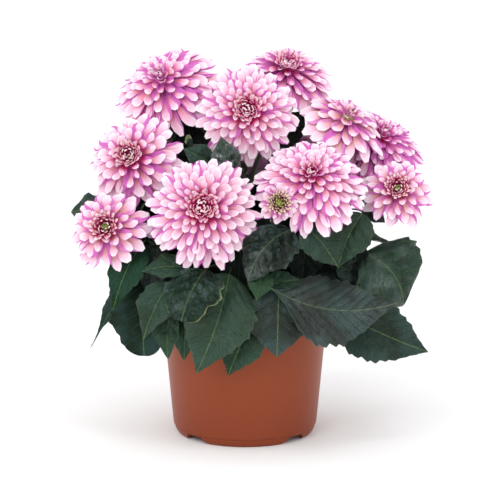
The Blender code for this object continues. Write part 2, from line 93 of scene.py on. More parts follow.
# Driving dimensions of the soil
SOIL_BELOW_RIM = 0.012
SOIL_CROWN = 0.004
SOIL_STEPS = 120
SOIL_RINGS = 40
SOIL_CLEAR = 0.0005
SOIL_LUMPS = ((45, 0.0016), (140, 0.0010), (420, 0.0005))
SOIL_SEED = 3
CRUMBS = 520
CRUMB_SIZE = (0.0008, 0.0024)
CRUMB_PROFILE = ((0.3, -0.8), (0.8, -0.4), (0.95, 0.1), (0.7, 0.6), (0.25, 0.85))
CRUMB_SIDES = 6
CRUMB_STRETCH = ((0.6, 1.3), (0.6, 1.1), (0.5, 0.9))
CRUMB_ROUGH = (0.8, 1.2)
CRUMB_EDGE = 0.003
CRUMB_SHARES = (70, 22, 8)
SOIL_COLOURS = (
    ("peat", (30, 20, 14), (66, 46, 32)),
    ("bark", (70, 44, 28), (112, 78, 50)),
    ("perlite", (190, 186, 178), (232, 230, 224)),
)
SOIL_CORNER = 0.004
SOIL_FOOT_IN = 0.0022
HOLE_DEPTH = 0.030
SEAT_GAP = 0.0003

# Driving dimensions of the stems. A calyx's height and radius are shares of its bloom's radius, each
# for a bud and for an open bloom
STEM_RADIUS = 0.0036
NECK_RADIUS = 0.0022
BRANCH_RADIUS = 0.0026
PETIOLE_RADII = (0.0015, 0.0008)
COLLAR = 0.008
STEM_POINTS = 6
STEM_DETAIL = 5
STEM_RISE = 0.45
STEM_ARRIVAL = 0.22
BRANCH_SHARE = 0.22
BRANCH_RISE = 0.18
BRANCH_ARRIVAL = 0.35
PETIOLE_POINTS = 12
PETIOLE_RISE = 0.35
PETIOLE_CLIMB = 0.45
PETIOLE_IN_BLADE = 0.13
STEM_SIDES = 14
PETIOLE_SIDES = 8
CALYX_HEIGHT = (0.30, 0.15)
CALYX_RADIUS = (0.40, 0.13)
CALYX_OVERLAP = 0.7
CALYX_SIDES = 20
BRACTS = 8

# Driving shares of a leaf blade
BLADE_THICKNESS = 0.0005
BLADE_COLUMNS = 21
COARSE_TOOTH = 0.024
LEAST_COARSE = 3
FINE_TOOTH = 0.0105
LEAST_FINE = 4
COARSE_DEPTH = 0.07
FINE_DEPTH = 0.085
TOOTH_LEAN = 0.72
WAVE_SHARE = 0.05
WAVES = 2.5
TAPER_GAIN = 0.4
VEIN_GAP = 0.0125
LEAST_VEINS = 4
VEIN_SLANT = 0.34
QUILT = 0.0019
FLAT_QUILT = 1.7
QUILT_COLUMNS = 12
QUILT_CREASE = 0.45
QUILT_FADE = (1.3, 0.7)
QUILT_SIDES = (1.4, 0.4)
MIDRIB_HALF = 0.2
RIB_RADIUS = 0.0008
RIB_RADII = (1.1 * RIB_RADIUS, 0.3 * RIB_RADIUS)

# The bracts under an open bloom and under a bud: the angle past an even place, the length, width and
# start in calyx radii, the rise and the curl
Bract = namedtuple("Bract", "turn length width start rise curl")
OPEN_BRACTS = (Bract(0, 2.0, 0.9, 0.75, 0.35, 0.1), Bract(0.4, 1.6, 0.6, 0.5, -0.5, 0.4))
BUD_BRACTS = (Bract(0, 2.4, 1.0, 0.7, 1.3, -0.1),)
BRACT_DROP = 0.45

# Driving dimensions of a bloom: counts and angles, or shares of its radius
GOLDEN_ANGLE = radians(137.507764)
PETAL_ROWS = 11
ROW_CROWDING = 1.8
PETAL_CREASE = np.array([0, 0.35, 0.6, 0.8, 1.0])
FLORET_ROWS = 8
FLORET_CREASE = np.array([0, 0.5, 1.0])
CREASE = (0.2, 0.8)
PETAL_THICKNESS = 0.00035
LAYER_POWER = 1.65
ROOT_OUT = 0.05
ROOT_LOW = 0.06
ROOT_RISE = 0.20
BEND_OUT = 0.58
BEND_UP = 0.6
BEND_LIFT = 0.11
BEND_GAIN = 0.055
DOME_SHAPE = 0.8
PETAL_WIDTH = 0.218
PETAL_ROOT_WIDTH = 0.50
PETAL_WIDEST = 0.80
LEAST_TIP = 0.26
TIP_SKEW = 0.4
TIP_LIFT = 0.03
ROOT_FOLD = (120, 230)
TIP_FOLD = (24, 200)
CUP_FOLD = 70
CUP_REACH = (0.0, 0.13)
CORE_WIDTH = 0.16
CORE_HEIGHT = 0.34
CORE_SIDES = 16
BUD_CORE_HEIGHT = 2.0
FLORET_ROOT = 0.45
FLORET_BEND = 1.25
CENTRE_SINK = 0.05

# The heights of a bloom's rim and crown, and the share of their reach that its petals spread to, each
# for a bud and for an open bloom
RIM = (0.90, -0.23)
CROWN = (1.25, 0.46)
SPREAD = (0.35, 1)

# How far petals stray from the rule: shares of what they would be, or of the bloom's radius
REACH_STRAY = (0.93, 1.02)
HEIGHT_STRAY = 0.02
WIDTH_STRAY = (0.85, 1.1)
BLUNT_STRAY = (0.6, 1.3)
FOLD_STRAY = (0.7, 1.4)
ROLL_STRAY = 0.3
SWAY_STRAY = 0.045
ANGLE_STRAY = 0.05
TONE_STRAY = (0.55, 1.3)

# The gap in a heavy bloom that has parted: how far out it runs, and half its angle
PARTING_REACH = (0.42, 0.9)
PARTING_HALF = radians(7)

# The rear foliage, which stands in tiers behind the stems
REAR_SEED = 7
REAR_TIERS = (0.170, 0.222, 0.276)
REAR_STAGGER = 0.008
REAR_LEAVES_A_TIER = 2
REAR_REACH = (0.062, 0.160)
REAR_TIER_OUT = 0.006
REAR_TIER_IN = 0.010
REAR_JITTER = 0.006
REAR_ARCH = 0.14
REAR_DROP = (0.045, 0.062)
REAR_WIDTH = (0.0432, 0.048)

# The shade foliage, which hangs at seeded places in an ellipsoid and closes the gaps between the stems
SHADE_SEED = 5
SHADE_LEAVES = 64
SHADE_TRIES = 1500
SHADE_MIDDLE = (0.005, 0.010, 0.255)
SHADE_SPREAD = (0.120, 0.070, 0.085)
SHADE_LENGTH = (0.045, 0.070)
SHADE_WIDTH = (0.0368, 0.0529)
SHADE_SLOPE = (-1, 0.9)
SHADE_SWING = (-0.7, 0.7)
SHADE_OUT = 0.5
SHADE_FACE_UP = 0.4
SHADE_COLUMNS = 13
SCREEN_SEED = 2
SCREEN_ROWS = ((0.238, -0.040), (0.205, -0.052))
SCREEN_REACH = (-0.100, 0.112)
SCREEN_LEAVES_A_ROW = 7
SCREEN_LENGTH = (0.0476, 0.0616)
SCREEN_WIDTH = (0.0432, 0.0528)
SCREEN_SHIFT = (-0.006, 0.006)
SCREEN_DEPTH = (-0.008, 0.008)
SCREEN_SWAY = (-0.02, 0.02)
SCREEN_OUT = 0.012
BLOOM_UNDERSIDE = 0.30
BLOOM_TOP = 0.60
BLOOM_CLEAR = 0.004

TINT_SEED = 11
TINT_STRAY = (-0.15, 0.15)
SHADE_TINT_DROP = (0, 0.5)
PETAL_MARKS = ("along", "across", "under", "inward", "centre", "tint", "tone", "young")
LEAF_MARKS = ("along", "across", "rim", "span", "veins", "tint", "quilt", "under", "sheen")
UNDER = "under"
BRACT_MARKS = (0.5, 0.5, 0, 0.004, 1, 0.9, 1, 0.6, 0.5)
LEAF, STEM = range(2)

UP = Vector((0, 0, 1))

# The ways that leaves face
FRONT = (0.0, -1.0, 0.25)
FRONT_LEFT = (-0.5, -0.85, 0.2)
FRONT_RIGHT = (0.5, -0.85, 0.2)
FRONT_UP = (0.0, -0.75, 0.65)

Bloom = namedtuple(
    "Bloom",
    "seat facing radius opening neck"
    " petals width tone young blunt inner florets floret deep narrowing parting",
    defaults=(1, None, 90, 1, 1, 0, 0.5, 0.31, 52, 0.125, 1, 0.4, None),
)
Leaf = namedtuple(
    "Leaf", "base tip width arch face quilt bend blunt green rim fold widest neck sheen",
    defaults=(0.10, FRONT, 1, 0, 0, 0.4, 0, 0.2, 0.72, 0.8, 0.7),
)
Stem = namedtuple("Stem", "foot blooms leaves rear_sector", defaults=((), None))

# Each bloom: its seat on the stem, the way it faces, its radius, how far it has opened, and the way
# its stem arrives where that isn't the way it faces. Then how it differs from the common one: its
# petals, their width, the strength of the orchid in them, how green its eye is, how blunt the petals'
# tips are, the share of it that the florets take, the florets' number and width, how strong the
# magenta and painted shade in its hollows are, how much the inner petals narrow, and the angle at
# which it has parted
BLOOMS = {
    "bloom_top_left": Bloom(
        (-0.089, 0.038, 0.388), (-0.28, -0.71, 0.64), 0.066,
        petals=96, tone=1.12, inner=0.06, florets=3, deep=0.35, narrowing=0.15, parting=radians(-62),
    ),
    "bloom_top_back": Bloom((0.047, 0.054, 0.399), (0.10, -0.59, 0.80), 0.058, tone=1.2, deep=0.8),
    "bloom_centre_top": Bloom((0.002, -0.020, 0.364), (0.03, -0.95, 0.32), 0.058, petals=100, width=0.95),
    "bloom_left": Bloom(
        (-0.122, -0.029, 0.313), (-0.24, -0.88, 0.41), 0.057, petals=60, width=1.3, young=0.3, blunt=0.4
    ),
    "bloom_left_low": Bloom(
        (-0.147, -0.071, 0.243), (-0.22, -0.93, 0.32), 0.047,
        petals=38, width=1.4, young=0.45, blunt=0.25, inner=0.40,
    ),
    "bloom_front_left": Bloom((-0.044, -0.090, 0.265), (-0.05, -0.93, 0.36), 0.063, petals=112, width=0.9),
    "bloom_front_right": Bloom(
        (0.071, -0.074, 0.293), (0.00, -0.75, 0.66), 0.063,
        petals=110, inner=0.12, florets=8, deep=0.75, narrowing=0.3,
    ),
    "bloom_right_top": Bloom(
        (0.111, 0.006, 0.349), (0.35, -0.59, 0.72), 0.053,
        petals=48, width=1.55, young=0.6, blunt=0.25, inner=0.08, florets=4, deep=0.4, narrowing=0.25,
    ),
    # This bloom's strong orchid and deep hollows darken it: partly its own colour, partly painted shade for
    # its place at the back
    "bloom_right_back": Bloom(
        (0.151, 0.050, 0.322), (0.30, -0.64, 0.71), 0.063,
        petals=96, tone=1.7, inner=0.08, florets=4, deep=0.9, narrowing=0.2,
    ),
    "bloom_right": Bloom(
        (0.166, -0.040, 0.279), (0.02, -0.87, 0.49), 0.042,
        petals=40, width=1.4, young=0.45, blunt=0.2, inner=0.40,
    ),
    "bloom_half_open": Bloom(
        (0.034, -0.144, 0.281), (0.10, -0.96, 0.22), 0.0265, 0.75, (0.35, -0.62, 0.70),
        petals=22, width=1.4, tone=1.2, young=1, blunt=0.1, inner=0.66, florets=64, floret=0.12,
    ),
    "bloom_back_left": Bloom((-0.062, 0.112, 0.322), (-0.35, 0.75, 0.56), 0.050, petals=80, width=1.1),
    "bloom_back_right": Bloom((0.050, 0.120, 0.310), (0.25, 0.80, 0.55), 0.048, petals=80, width=1.1),
    "bloom_back_low": Bloom((0.000, 0.130, 0.270), (0.00, 0.93, 0.37), 0.045, petals=80, width=1.1),
    "bud": Bloom((-0.099, -0.060, 0.229), (-0.30, -0.70, 0.65), 0.015, 0, petals=20, width=2.2, blunt=0.4),
}

# Each leafy stem: where it stands, its blooms, its leaves, and the sector of rear foliage that it bears,
# in degrees
# A green below nought paints shade on a leaf: the dark leaves that close the gaps between the blooms
STEMS = {
    "leafy_stem_left": Stem((-0.048, -0.028), ("bloom_left", "bloom_left_low", "bud"), (
        Leaf((-0.112, -0.056, 0.225), (-0.143, -0.086, 0.155), 0.039, 0.10, (-0.2, -0.97, 0.1),
             bend=0.03, green=0.8, sheen=0.1),
        Leaf((-0.134, -0.035, 0.176), (-0.174, -0.042, 0.102), 0.028, -0.03, (-0.75, -0.6, 0.25),
             blunt=-2, bend=0.03, widest=0.5, sheen=0.3),
        Leaf((-0.108, -0.060, 0.178), (-0.110, -0.078, 0.103), 0.072, 0.10, (-0.25, -0.95, 0.1), 1.3,
             blunt=0.75, green=0.1, sheen=0.3),
        Leaf((-0.062, -0.088, 0.204), (-0.112, -0.082, 0.198), 0.030, 0.10, FRONT_UP, green=0.9),
        Leaf((-0.160, -0.022, 0.255), (-0.195, -0.012, 0.253), 0.040, 0.08, (-0.1, -0.8, 0.6)),
        Leaf((-0.080, -0.088, 0.188), (-0.109, -0.100, 0.127), 0.044, 0.10, FRONT_LEFT, green=0.7),
        Leaf((-0.079, -0.086, 0.158), (-0.083, -0.090, 0.102), 0.034, 0.10, FRONT_LEFT, green=1.2),
        Leaf((-0.064, -0.088, 0.158), (-0.066, -0.097, 0.102), 0.030, green=0.8),
        Leaf((-0.093, -0.058, 0.226), (-0.103, -0.062, 0.164), 0.044, 0.10, FRONT_LEFT, green=-0.4),
        Leaf((-0.066, -0.066, 0.200), (-0.088, -0.070, 0.140), 0.044, green=-0.5),
    )),
    "leafy_stem_top_left": Stem((-0.044, 0.024), ("bloom_top_left",), (
        Leaf((-0.084, 0.036, 0.328), (-0.085, 0.044, 0.382), 0.036, 0.02, blunt=0.8, green=1.2),
    ), (117, 168)),
    "leafy_stem_front": Stem((-0.016, -0.046), ("bloom_front_left",), (
        Leaf((-0.017, -0.090, 0.197), (-0.053, -0.116, 0.092), 0.078, 0.12, FRONT, 1.3, -0.04,
             green=0.8, sheen=1),
        Leaf((-0.042, -0.100, 0.203), (-0.067, -0.130, 0.153), 0.070, 0.12, FRONT_LEFT, 3,
             blunt=0.8, rim=0.05, fold=-0.05, sheen=0.6),
        Leaf((0.008, -0.099, 0.152), (-0.019, -0.108, 0.088), 0.050, 0.08, green=0.8),
        Leaf((-0.005, -0.070, 0.216), (-0.010, -0.076, 0.156), 0.042, 0.08, green=-0.5),
    )),
    "leafy_stem_centre": Stem((0.002, 0.012), ("bloom_centre_top", "bloom_top_back"), (
        Leaf((-0.018, -0.050, 0.299), (-0.026, -0.044, 0.341), 0.034, 0.06, FRONT, 2.2, green=0.6, sheen=3.5),
        Leaf((-0.036, -0.036, 0.311), (-0.068, -0.030, 0.326), 0.028, 0.08),
        Leaf((-0.062, -0.012, 0.328), (-0.063, -0.014, 0.340), 0.009, blunt=0.8, rim=1),
        Leaf((-0.012, 0.022, 0.372), (-0.021, 0.022, 0.411), 0.014, 0.06),
        Leaf((-0.056, 0.030, 0.290), (-0.066, 0.040, 0.352), 0.056, 0.08, green=-0.8),
    )),
    "leafy_stem_front_right": Stem((0.026, -0.044), ("bloom_front_right", "bloom_half_open"), (
        Leaf((0.023, -0.120, 0.190), (0.164, -0.110, 0.170), 0.088, -0.06, FRONT_UP, 1.3, 0.10, 1.5,
             green=0, fold=-0.12, widest=0.92, neck=2.3, sheen=1.3),
        Leaf((0.036, -0.104, 0.188), (0.034, -0.116, 0.111), 0.073, 0.16, FRONT, 1.2,
             blunt=0.6, green=0.1, fold=-0.1, widest=0.85, neck=1.3, sheen=0.9),
        Leaf((0.049, -0.100, 0.247), (0.003, -0.124, 0.195), 0.062, 0.12, FRONT_LEFT, 3, 0.08, 0.3,
             green=0.1, fold=-0.2, sheen=1),
        Leaf((0.062, -0.090, 0.251), (0.099, -0.094, 0.206), 0.050, 0.10, FRONT_RIGHT, 0.6,
             blunt=0.2, green=0.5),
        Leaf((0.019, -0.112, 0.206), (0.012, -0.122, 0.174), 0.028, 0.08, green=1.3),
        Leaf((0.023, -0.106, 0.186), (0.060, -0.098, 0.192), 0.028, 0.08, FRONT_UP, green=0.7),
        Leaf((0.067, -0.058, 0.238), (0.062, -0.064, 0.178), 0.046, green=-0.6),
        Leaf((0.038, -0.070, 0.262), (0.030, -0.078, 0.216), 0.042, green=-0.6),
    )),
    "leafy_stem_right": Stem((0.056, -0.014), ("bloom_right_top", "bloom_right"), (
        Leaf((0.093, -0.076, 0.158), (0.202, -0.070, 0.106), 0.070, 0.08, bend=0.03, green=0.3),
        Leaf((0.131, -0.050, 0.213), (0.176, -0.042, 0.152), 0.095, 0.14, FRONT_RIGHT, 2, -0.10, 0.3,
             green=0.8, fold=0.05, widest=0.8, sheen=1),
        Leaf((0.128, -0.056, 0.258), (0.101, -0.074, 0.200), 0.050, bend=0.06, green=0.8, sheen=0.9),
        Leaf((0.129, -0.036, 0.263), (0.155, -0.034, 0.244), 0.024, 0.10, FRONT_RIGHT, green=-0.2),
        Leaf((0.099, -0.062, 0.202), (0.130, -0.052, 0.186), 0.026, green=-0.3),
        Leaf((0.118, 0.028, 0.262), (0.128, 0.032, 0.314), 0.038, 0.06, green=-0.6),
    )),
    "leafy_stem_right_back": Stem((0.050, 0.026), ("bloom_right_back",), rear_sector=(15, 66)),
    "leafy_stem_back": Stem(
        (-0.004, 0.052), ("bloom_back_low", "bloom_back_left", "bloom_back_right"), rear_sector=(66, 117)
    ),
}

# The studio: each lamp's place, size, power and colour, and the floor, which reaches far past the view
WHITE = (1, 1, 1)
LAMPS = {
    "key": ((-1.2, -2.3, 1.9), (1.2, 1.2), 14, WHITE),
    "fill": ((1.6, -2.0, 0.9), (1.2, 1.6), 2, WHITE),
    "top": ((0.3, -1.0, 2.1), (0.6, 0.6), 6, (0.88, 0.95, 1.0)),
    "left edge": ((-2.2, 0.7, 0.7), (0.6, 1.8), 4, WHITE),
    "right edge": ((2.2, 0.7, 0.7), (0.6, 1.8), 2, WHITE),
}
LAMP_AIM = (0, 0, 0.22)
SUN_POWER = 0.2
SUN_WIDTH = radians(30)
SUN_PLACE = (-1.5, -1.6, 2.4)
SKY_POWER = 1.07
FLOOR_COLOUR = (0.96, 0.96, 0.96, 1)
FLOOR_REACH = 60


def mix(at_nought, at_one, share):
    return at_nought + (at_one - at_nought) * share


def ease(values, low, high):
    """Goes smoothly from 0 at low to 1 at high."""
    share = np.clip((values - low) / (high - low), 0, 1)
    return share * share * (3 - 2 * share)


def sawtooth(values):
    """Rises from 0 to 1 over the first part of each whole number, and falls back over the rest."""
    part = values - np.floor(values)
    return np.minimum(part / TOOTH_LEAN, (1 - part) / (1 - TOOTH_LEAN))


def hump(values):
    """0 at whole numbers and 1 halfway between them."""
    part = values - np.floor(values)
    return 4 * part * (1 - part)


def unit(vector):
    return vector / np.linalg.norm(vector, axis=-1, keepdims=True)


def linear(red, green, blue):
    """A colour of 0 to 255 a channel, as a shader socket takes it."""
    channels = []
    for value in (red, green, blue):
        share = value / 255
        channels.append(share / 12.92 if share < 0.04045 else ((share + 0.055) / 1.055) ** 2.4)
    return (*channels, 1)


# Mesh building

def quads(numbers):
    """The quads of a grid of point numbers, facing along rows cross columns."""
    corners = (numbers[:-1, :-1], numbers[1:, :-1], numbers[1:, 1:], numbers[:-1, 1:])
    return np.stack(corners, axis=-1).reshape(-1, 4)


def ringed(rings, first, last):
    """A closed skin on rings of points, each ending in a fan to a middle point."""
    count, steps = rings.shape[:2]
    numbers = np.arange(count * steps).reshape(count, steps)
    numbers = np.concatenate([numbers, numbers[:, :1]], axis=1)
    points = np.concatenate([rings.reshape(-1, 3), [first, last]])
    near, far = count * steps, count * steps + 1
    start, end = numbers[0], numbers[-1]
    sides = quads(numbers)[:, ::-1]
    near_fan = np.stack([np.full(steps, near), start[1:], start[:-1]], axis=-1)
    far_fan = np.stack([np.full(steps, far), end[:-1], end[1:]], axis=-1)
    return points, (sides, np.concatenate([near_fan, far_fan]))


def tube(line, radii, sides):
    """A closed tube along a line of points, with the radii of its two ends."""
    line = np.array([tuple(place) for place in line])
    tangents = unit(np.gradient(line, axis=0))
    angles = np.arange(sides) * tau / sides
    side = np.cross(tangents[0], (0.3, 0.9, 0.1))
    rings = []
    for place, tangent, radius in zip(line, tangents, np.linspace(*radii, len(line))):
        side = unit(side - tangent * side.dot(tangent))
        other = np.cross(tangent, side)
        rings.append(place + radius * (np.outer(np.cos(angles), side) + np.outer(np.sin(angles), other)))
    return ringed(np.array(rings), line[0], line[-1])


def turned(profile, steps):
    """A closed solid of revolution about Z. Its profile runs upwards, and its ends close on the axis."""
    angles = np.arange(steps) * tau / steps
    radii, heights = np.array(profile).T[..., None]
    rings = np.stack([radii * np.cos(angles), radii * np.sin(angles), heights + 0 * angles], axis=-1)
    return ringed(rings, (0, 0, heights[0, 0]), (0, 0, heights[-1, 0]))


class Growth:
    """Gathers closed shapes into one mesh, with a few marks at each point for the materials to read."""

    def __init__(self, names=()):
        self.names = names
        self.points = []
        self.faces = []
        self.kinds = []
        self.marks = []
        self.count = 0

    def add(self, points, face_sets, marks=None, kind=0):
        """A mark is one number, or a number for each point. The kind is the material's number."""
        for faces in face_sets:
            self.faces.extend((faces + self.count).tolist())
            self.kinds.extend([kind] * len(faces))
        self.points.append(points)
        self.marks.append([np.broadcast_to(mark, len(points)) for mark in marks or [0] * len(self.names)])
        self.count += len(points)

    def add_sheet(self, grid, thickness, marks, kind=0):
        """A closed thin sheet on a grid of points, with a keen rim.

        A mark is one number, a number for each row, column or point, or UNDER, for the underside.
        """
        rows, columns = grid.shape[:2]
        out = unit(np.cross(np.gradient(grid, axis=0), np.gradient(grid, axis=1))) * thickness / 2
        inside = np.zeros((rows, columns), bool)
        inside[1:-1, 1:-1] = True
        above = np.arange(rows * columns).reshape(rows, columns)
        below = above.copy()
        below[inside] = rows * columns + np.arange(inside.sum())
        points = np.concatenate([(grid + out * inside[..., None]).reshape(-1, 3), (grid - out)[inside]])
        source = np.concatenate([above.ravel(), above[inside]])
        under = np.arange(len(points)) >= rows * columns
        spread = [
            under if mark is UNDER else np.broadcast_to(mark, (rows, columns)).ravel()[source]
            for mark in marks
        ]
        self.add(points, (quads(above), quads(below)[:, ::-1]), spread, kind)

    def mesh(self, name):
        mesh = bpy.data.meshes.new(name)
        mesh.from_pydata(np.concatenate(self.points), [], self.faces)
        return mesh

    def model(self, name, node, slot, materials, sharp_angle):
        """The finished piece, which takes the place of its CAD node."""
        mesh = self.mesh(name)
        for number, mark in enumerate(self.names):
            values = np.concatenate([marks[number] for marks in self.marks])
            mesh.attributes.new(mark, "FLOAT", "POINT").data.foreach_set("value", values.astype(np.float32))
        for made in materials:
            mesh.materials.append(made)
        mesh.polygons.foreach_set("material_index", self.kinds)
        mesh.shade_smooth()
        mesh.set_sharp_from_angle(angle=radians(sharp_angle))
        piece = show(name, mesh)
        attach(piece, "root")
        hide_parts(node)
        return piece


def show(name, data):
    """Puts an object with this data in the scene."""
    thing = bpy.data.objects.new(name, data)
    bpy.context.scene.collection.objects.link(thing)
    return thing


# Materials

class Value:
    """A node's output. Sums on it make further nodes, and give their outputs."""

    def __init__(self, paint, socket):
        self.paint = paint
        self.socket = socket

    def __add__(self, other):
        return self.paint.math("ADD", self, other)

    def __sub__(self, other):
        return self.paint.math("SUBTRACT", self, other)

    def __rsub__(self, other):
        return self.paint.math("SUBTRACT", other, self)

    def __mul__(self, other):
        return self.paint.math("MULTIPLY", self, other)

    def __abs__(self):
        return self.paint.math("ABSOLUTE", self)


class Paint:
    """A material whose node tree is written as short calls. Its colours are of 0 to 255 a channel."""

    def __init__(self, name, **sockets):
        self.made = bpy.data.materials.new(name)
        self.made.use_nodes = True
        self.colour = None
        self.tree = self.made.node_tree
        self.shader = self.tree.nodes["Principled BSDF"]
        for socket, value in sockets.items():
            self.shader.inputs[socket.replace("_", " ")].default_value = value

    def node(self, kind, inputs, output=0, **settings):
        made = self.tree.nodes.new("ShaderNode" + kind)
        for setting, value in settings.items():
            setattr(made, setting, value)
        for socket, value in inputs.items():
            if isinstance(value, Value):
                self.tree.links.new(value.socket, made.inputs[socket])
            else:
                made.inputs[socket].default_value = value
        return Value(self, made.outputs[output])

    def mark(self, name):
        return self.node("Attribute", {}, "Fac", attribute_name=name)

    def place(self):
        return self.node("TexCoord", {}, "Object")

    def math(self, operation, *values):
        return self.node("Math", dict(enumerate(values)), operation=operation)

    def ease(self, value, low, high):
        inputs = {"Value": value, "From Min": low, "From Max": high}
        return self.node("MapRange", inputs, interpolation_type="SMOOTHSTEP")

    def mix(self, share, first, second):
        first, second = (linear(*one) if isinstance(one, tuple) else one for one in (first, second))
        return self.node("Mix", {0: share, 6: first, 7: second}, 2, data_type="RGBA")

    def coat(self, share, colour):
        """Lays a colour over a share of what is there."""
        self.colour = self.mix(share, self.colour, colour)

    def noise(self, vector, scale, detail=2):
        return self.node("TexNoise", {"Vector": vector, "Scale": scale, "Detail": detail})

    def cells(self, vector, scale):
        return self.node("TexVoronoi", {"Vector": vector, "Scale": scale}, feature="DISTANCE_TO_EDGE")

    def lead(self, value, socket):
        self.tree.links.new(value.socket, self.shader.inputs[socket])

    def finish(self, height, depth, strength=1):
        """The material in its colour, with bumps of a height that the depth scales, in metres."""
        self.lead(self.colour, "Base Color")
        bump = self.node("Bump", {"Height": height, "Distance": depth, "Strength": strength})
        self.lead(bump, "Normal")
        return self.made


def petal_paint():
    """Cream spoons, peach hearts, orchid margins, deep magenta and painted shade in the centre's hollows."""
    paint = Paint(
        "petal", Roughness=0.6, Specular_IOR_Level=0.12,
        Subsurface_Weight=0.06, Subsurface_Scale=0.001, Subsurface_Radius=(1.0, 0.35, 0.5),
    )
    along, across, under, inward, centre, tint, tone, young = (paint.mark(name) for name in PETAL_MARKS)
    older = young * young
    rolled = paint.ease(centre, 0.0, 0.1)

    # The petal's body, pale at the tip and peach at the root
    low = paint.mix(young, (234, 148, 178), (238, 186, 202))
    high = paint.mix(young, (246, 206, 226), (246, 228, 241))
    paint.colour = paint.mix(paint.ease(along, 0.60, 0.95), low, high)
    heart = paint.mix(young, (226, 130, 130), (220, 182, 134))
    paint.coat((1 - paint.ease(along, 0.40, 0.80)) * 0.9, heart)
    # The pale brim: partly the petal's white tip, partly a painted highlight on the raised edges of its cup
    side = abs(across + (tint - 0.5))
    brim = paint.math("MAXIMUM", side * paint.ease(along, 0.55, 0.85), along * 5 - 4)
    paint.coat(paint.ease(brim, 0.4, 0.95) * 0.9, (251, 235, 243))
    floret = paint.mix(paint.ease(along, 0.60, 0.90), (226, 30, 124), (254, 222, 228))
    paint.coat(rolled, paint.mix(older, floret, (244, 230, 190)))

    # The orchid margin, whose edge wanders in streaks
    spread = paint.node("CombineXYZ", {0: across * 8, 1: along, 2: tint * 40})
    streak = paint.noise(spread, 2.2, 3)
    past = side + (streak - 0.5) * 0.8 - (along * 1.8 - 0.74) + (tone * 0.4 - 0.36)
    orchid = paint.ease(past, 0.0, 0.16) * tone * (1 - rolled * 0.4)
    paint.coat(orchid, (208, 108, 186))

    # The deep hollows towards the centre, magenta partly of their own and partly painted shade, and the lilac
    # underside
    depth = along + rolled * 0.12 - inward * 0.5
    hollow = (1 - paint.ease(depth, 0.15, 0.39)) * (1 - under * 0.85)
    deep = paint.ease(inward, 0.15, 0.95) * hollow * (1 - centre * 0.15)
    paint.coat(deep, paint.mix(young, (184, 4, 84), (120, 20, 52)))
    lilac = under * (0.75 - paint.ease(along, 0.6, 1.0) * 0.45) * (1 - rolled)
    paint.coat(lilac, (216, 150, 204))

    # The green eye of a young bloom
    eye = young * 0.45 - (1 - centre)
    paint.coat(paint.ease(eye, -0.12, 0.12), paint.mix(older, (124, 136, 64), (200, 204, 122)))
    return paint.finish(paint.math("SINE", across * 11) + streak * 2, 0.0002, 0.6)


def leaf_paint():
    """Dark veined leaves, some greener, with a partly painted blue-grey sheen; painted shade blackens inner
    ones.
    """
    paint = Paint("leaf", Roughness=0.3)
    place = paint.place()
    along, across, rim, span, veins, tint, quilt, under, sheen = (paint.mark(name) for name in LEAF_MARKS)
    across = abs(across)
    run = (along - across * VEIN_SLANT) * veins
    vein = paint.ease(abs(paint.math("FRACT", run) - 0.5), 0.445, 0.485)
    rib = 1 - paint.ease(across * span, 0.0002, 0.0007)
    net = paint.ease(paint.cells(place, 420), 0.0, 0.12)
    # Mottled colour: partly the leaf's own tone, partly painted sheen in its light blue-grey patches
    paint.colour = paint.mix(paint.ease(paint.noise(place, 28, 3), 0.36, 0.64), (8, 22, 16), (44, 68, 66))
    paint.coat(tint * 0.6, (34, 74, 42))
    paint.coat((1 - net) * 0.25, (56, 74, 58))

    # The blisters of a puffed leaf, with painted shade in the creases between them and a painted highlight on
    # each
    blisters = paint.cells(place, 125)
    puffed = paint.ease(quilt, 1.2, 3.0)
    painted_crease_shade = (1 - paint.ease(blisters, 0.02, 0.16)) * (puffed * 0.55)
    paint.coat(painted_crease_shade, (8, 16, 10))
    # Painted highlight: the middle of each blister is lightened
    paint.coat(paint.ease(blisters, 0.16, 0.40) * (puffed * 0.4), (78, 92, 84))

    # The sheen, uneven on a quilted leaf and weak on a shaded one, partly specular and partly painted in
    # patches
    clouds = paint.noise(place, 42, 2)
    uneven = paint.ease(quilt, 1.0, 2.0)
    # Painted shade: dark patches on a quilted leaf
    paint.coat((1 - paint.ease(clouds, 0.34, 0.48)) * (uneven * 0.5), (6, 15, 9))
    gloss_and_painted_sheen = paint.ease(clouds, 0.50, 0.68)
    # Painted sheen: blue-grey patches on a quilted leaf, where the specular level also rises
    paint.coat(gloss_and_painted_sheen * (uneven * 0.3), (88, 106, 102))
    shade = paint.ease(tint * -1, 0.0, 0.8)
    level = sheen * ((gloss_and_painted_sheen * 1.3 - 0.6) * uneven * 0.3 + 0.5)
    paint.lead(level * (1 - shade * 0.7), "Specular IOR Level")

    # The veins, the midrib, the pale rim, the underside and the shade
    clear = paint.math("MAXIMUM", tint * 0.6 + 0.3, 0.15)
    paint.coat(vein * clear, (88, 118, 80))
    paint.coat(rib * 0.9, (104, 128, 80))
    paint.coat(paint.ease(rim, 0.97, 1.06) * 0.9, (146, 158, 110))
    paint.coat(under * 0.5, (66, 88, 60))
    # Painted shade: a leaf whose tint is below nought is darkened towards black
    paint.coat(shade * 0.8, (10, 15, 10))
    height = net * 0.6 + paint.noise(place, 900, 2) * 0.5 - vein * 1.6
    return paint.finish(height + paint.ease(blisters, 0.0, 0.4) * (puffed * 1.2), 0.0012)


def stem_paint():
    paint = Paint("stem", Roughness=0.45)
    place = paint.place()
    paint.colour = paint.mix(paint.noise(place, 60, 3), (30, 44, 22), (64, 78, 40))
    return paint.finish(paint.noise(place, 700, 2), 0.0002, 0.5)


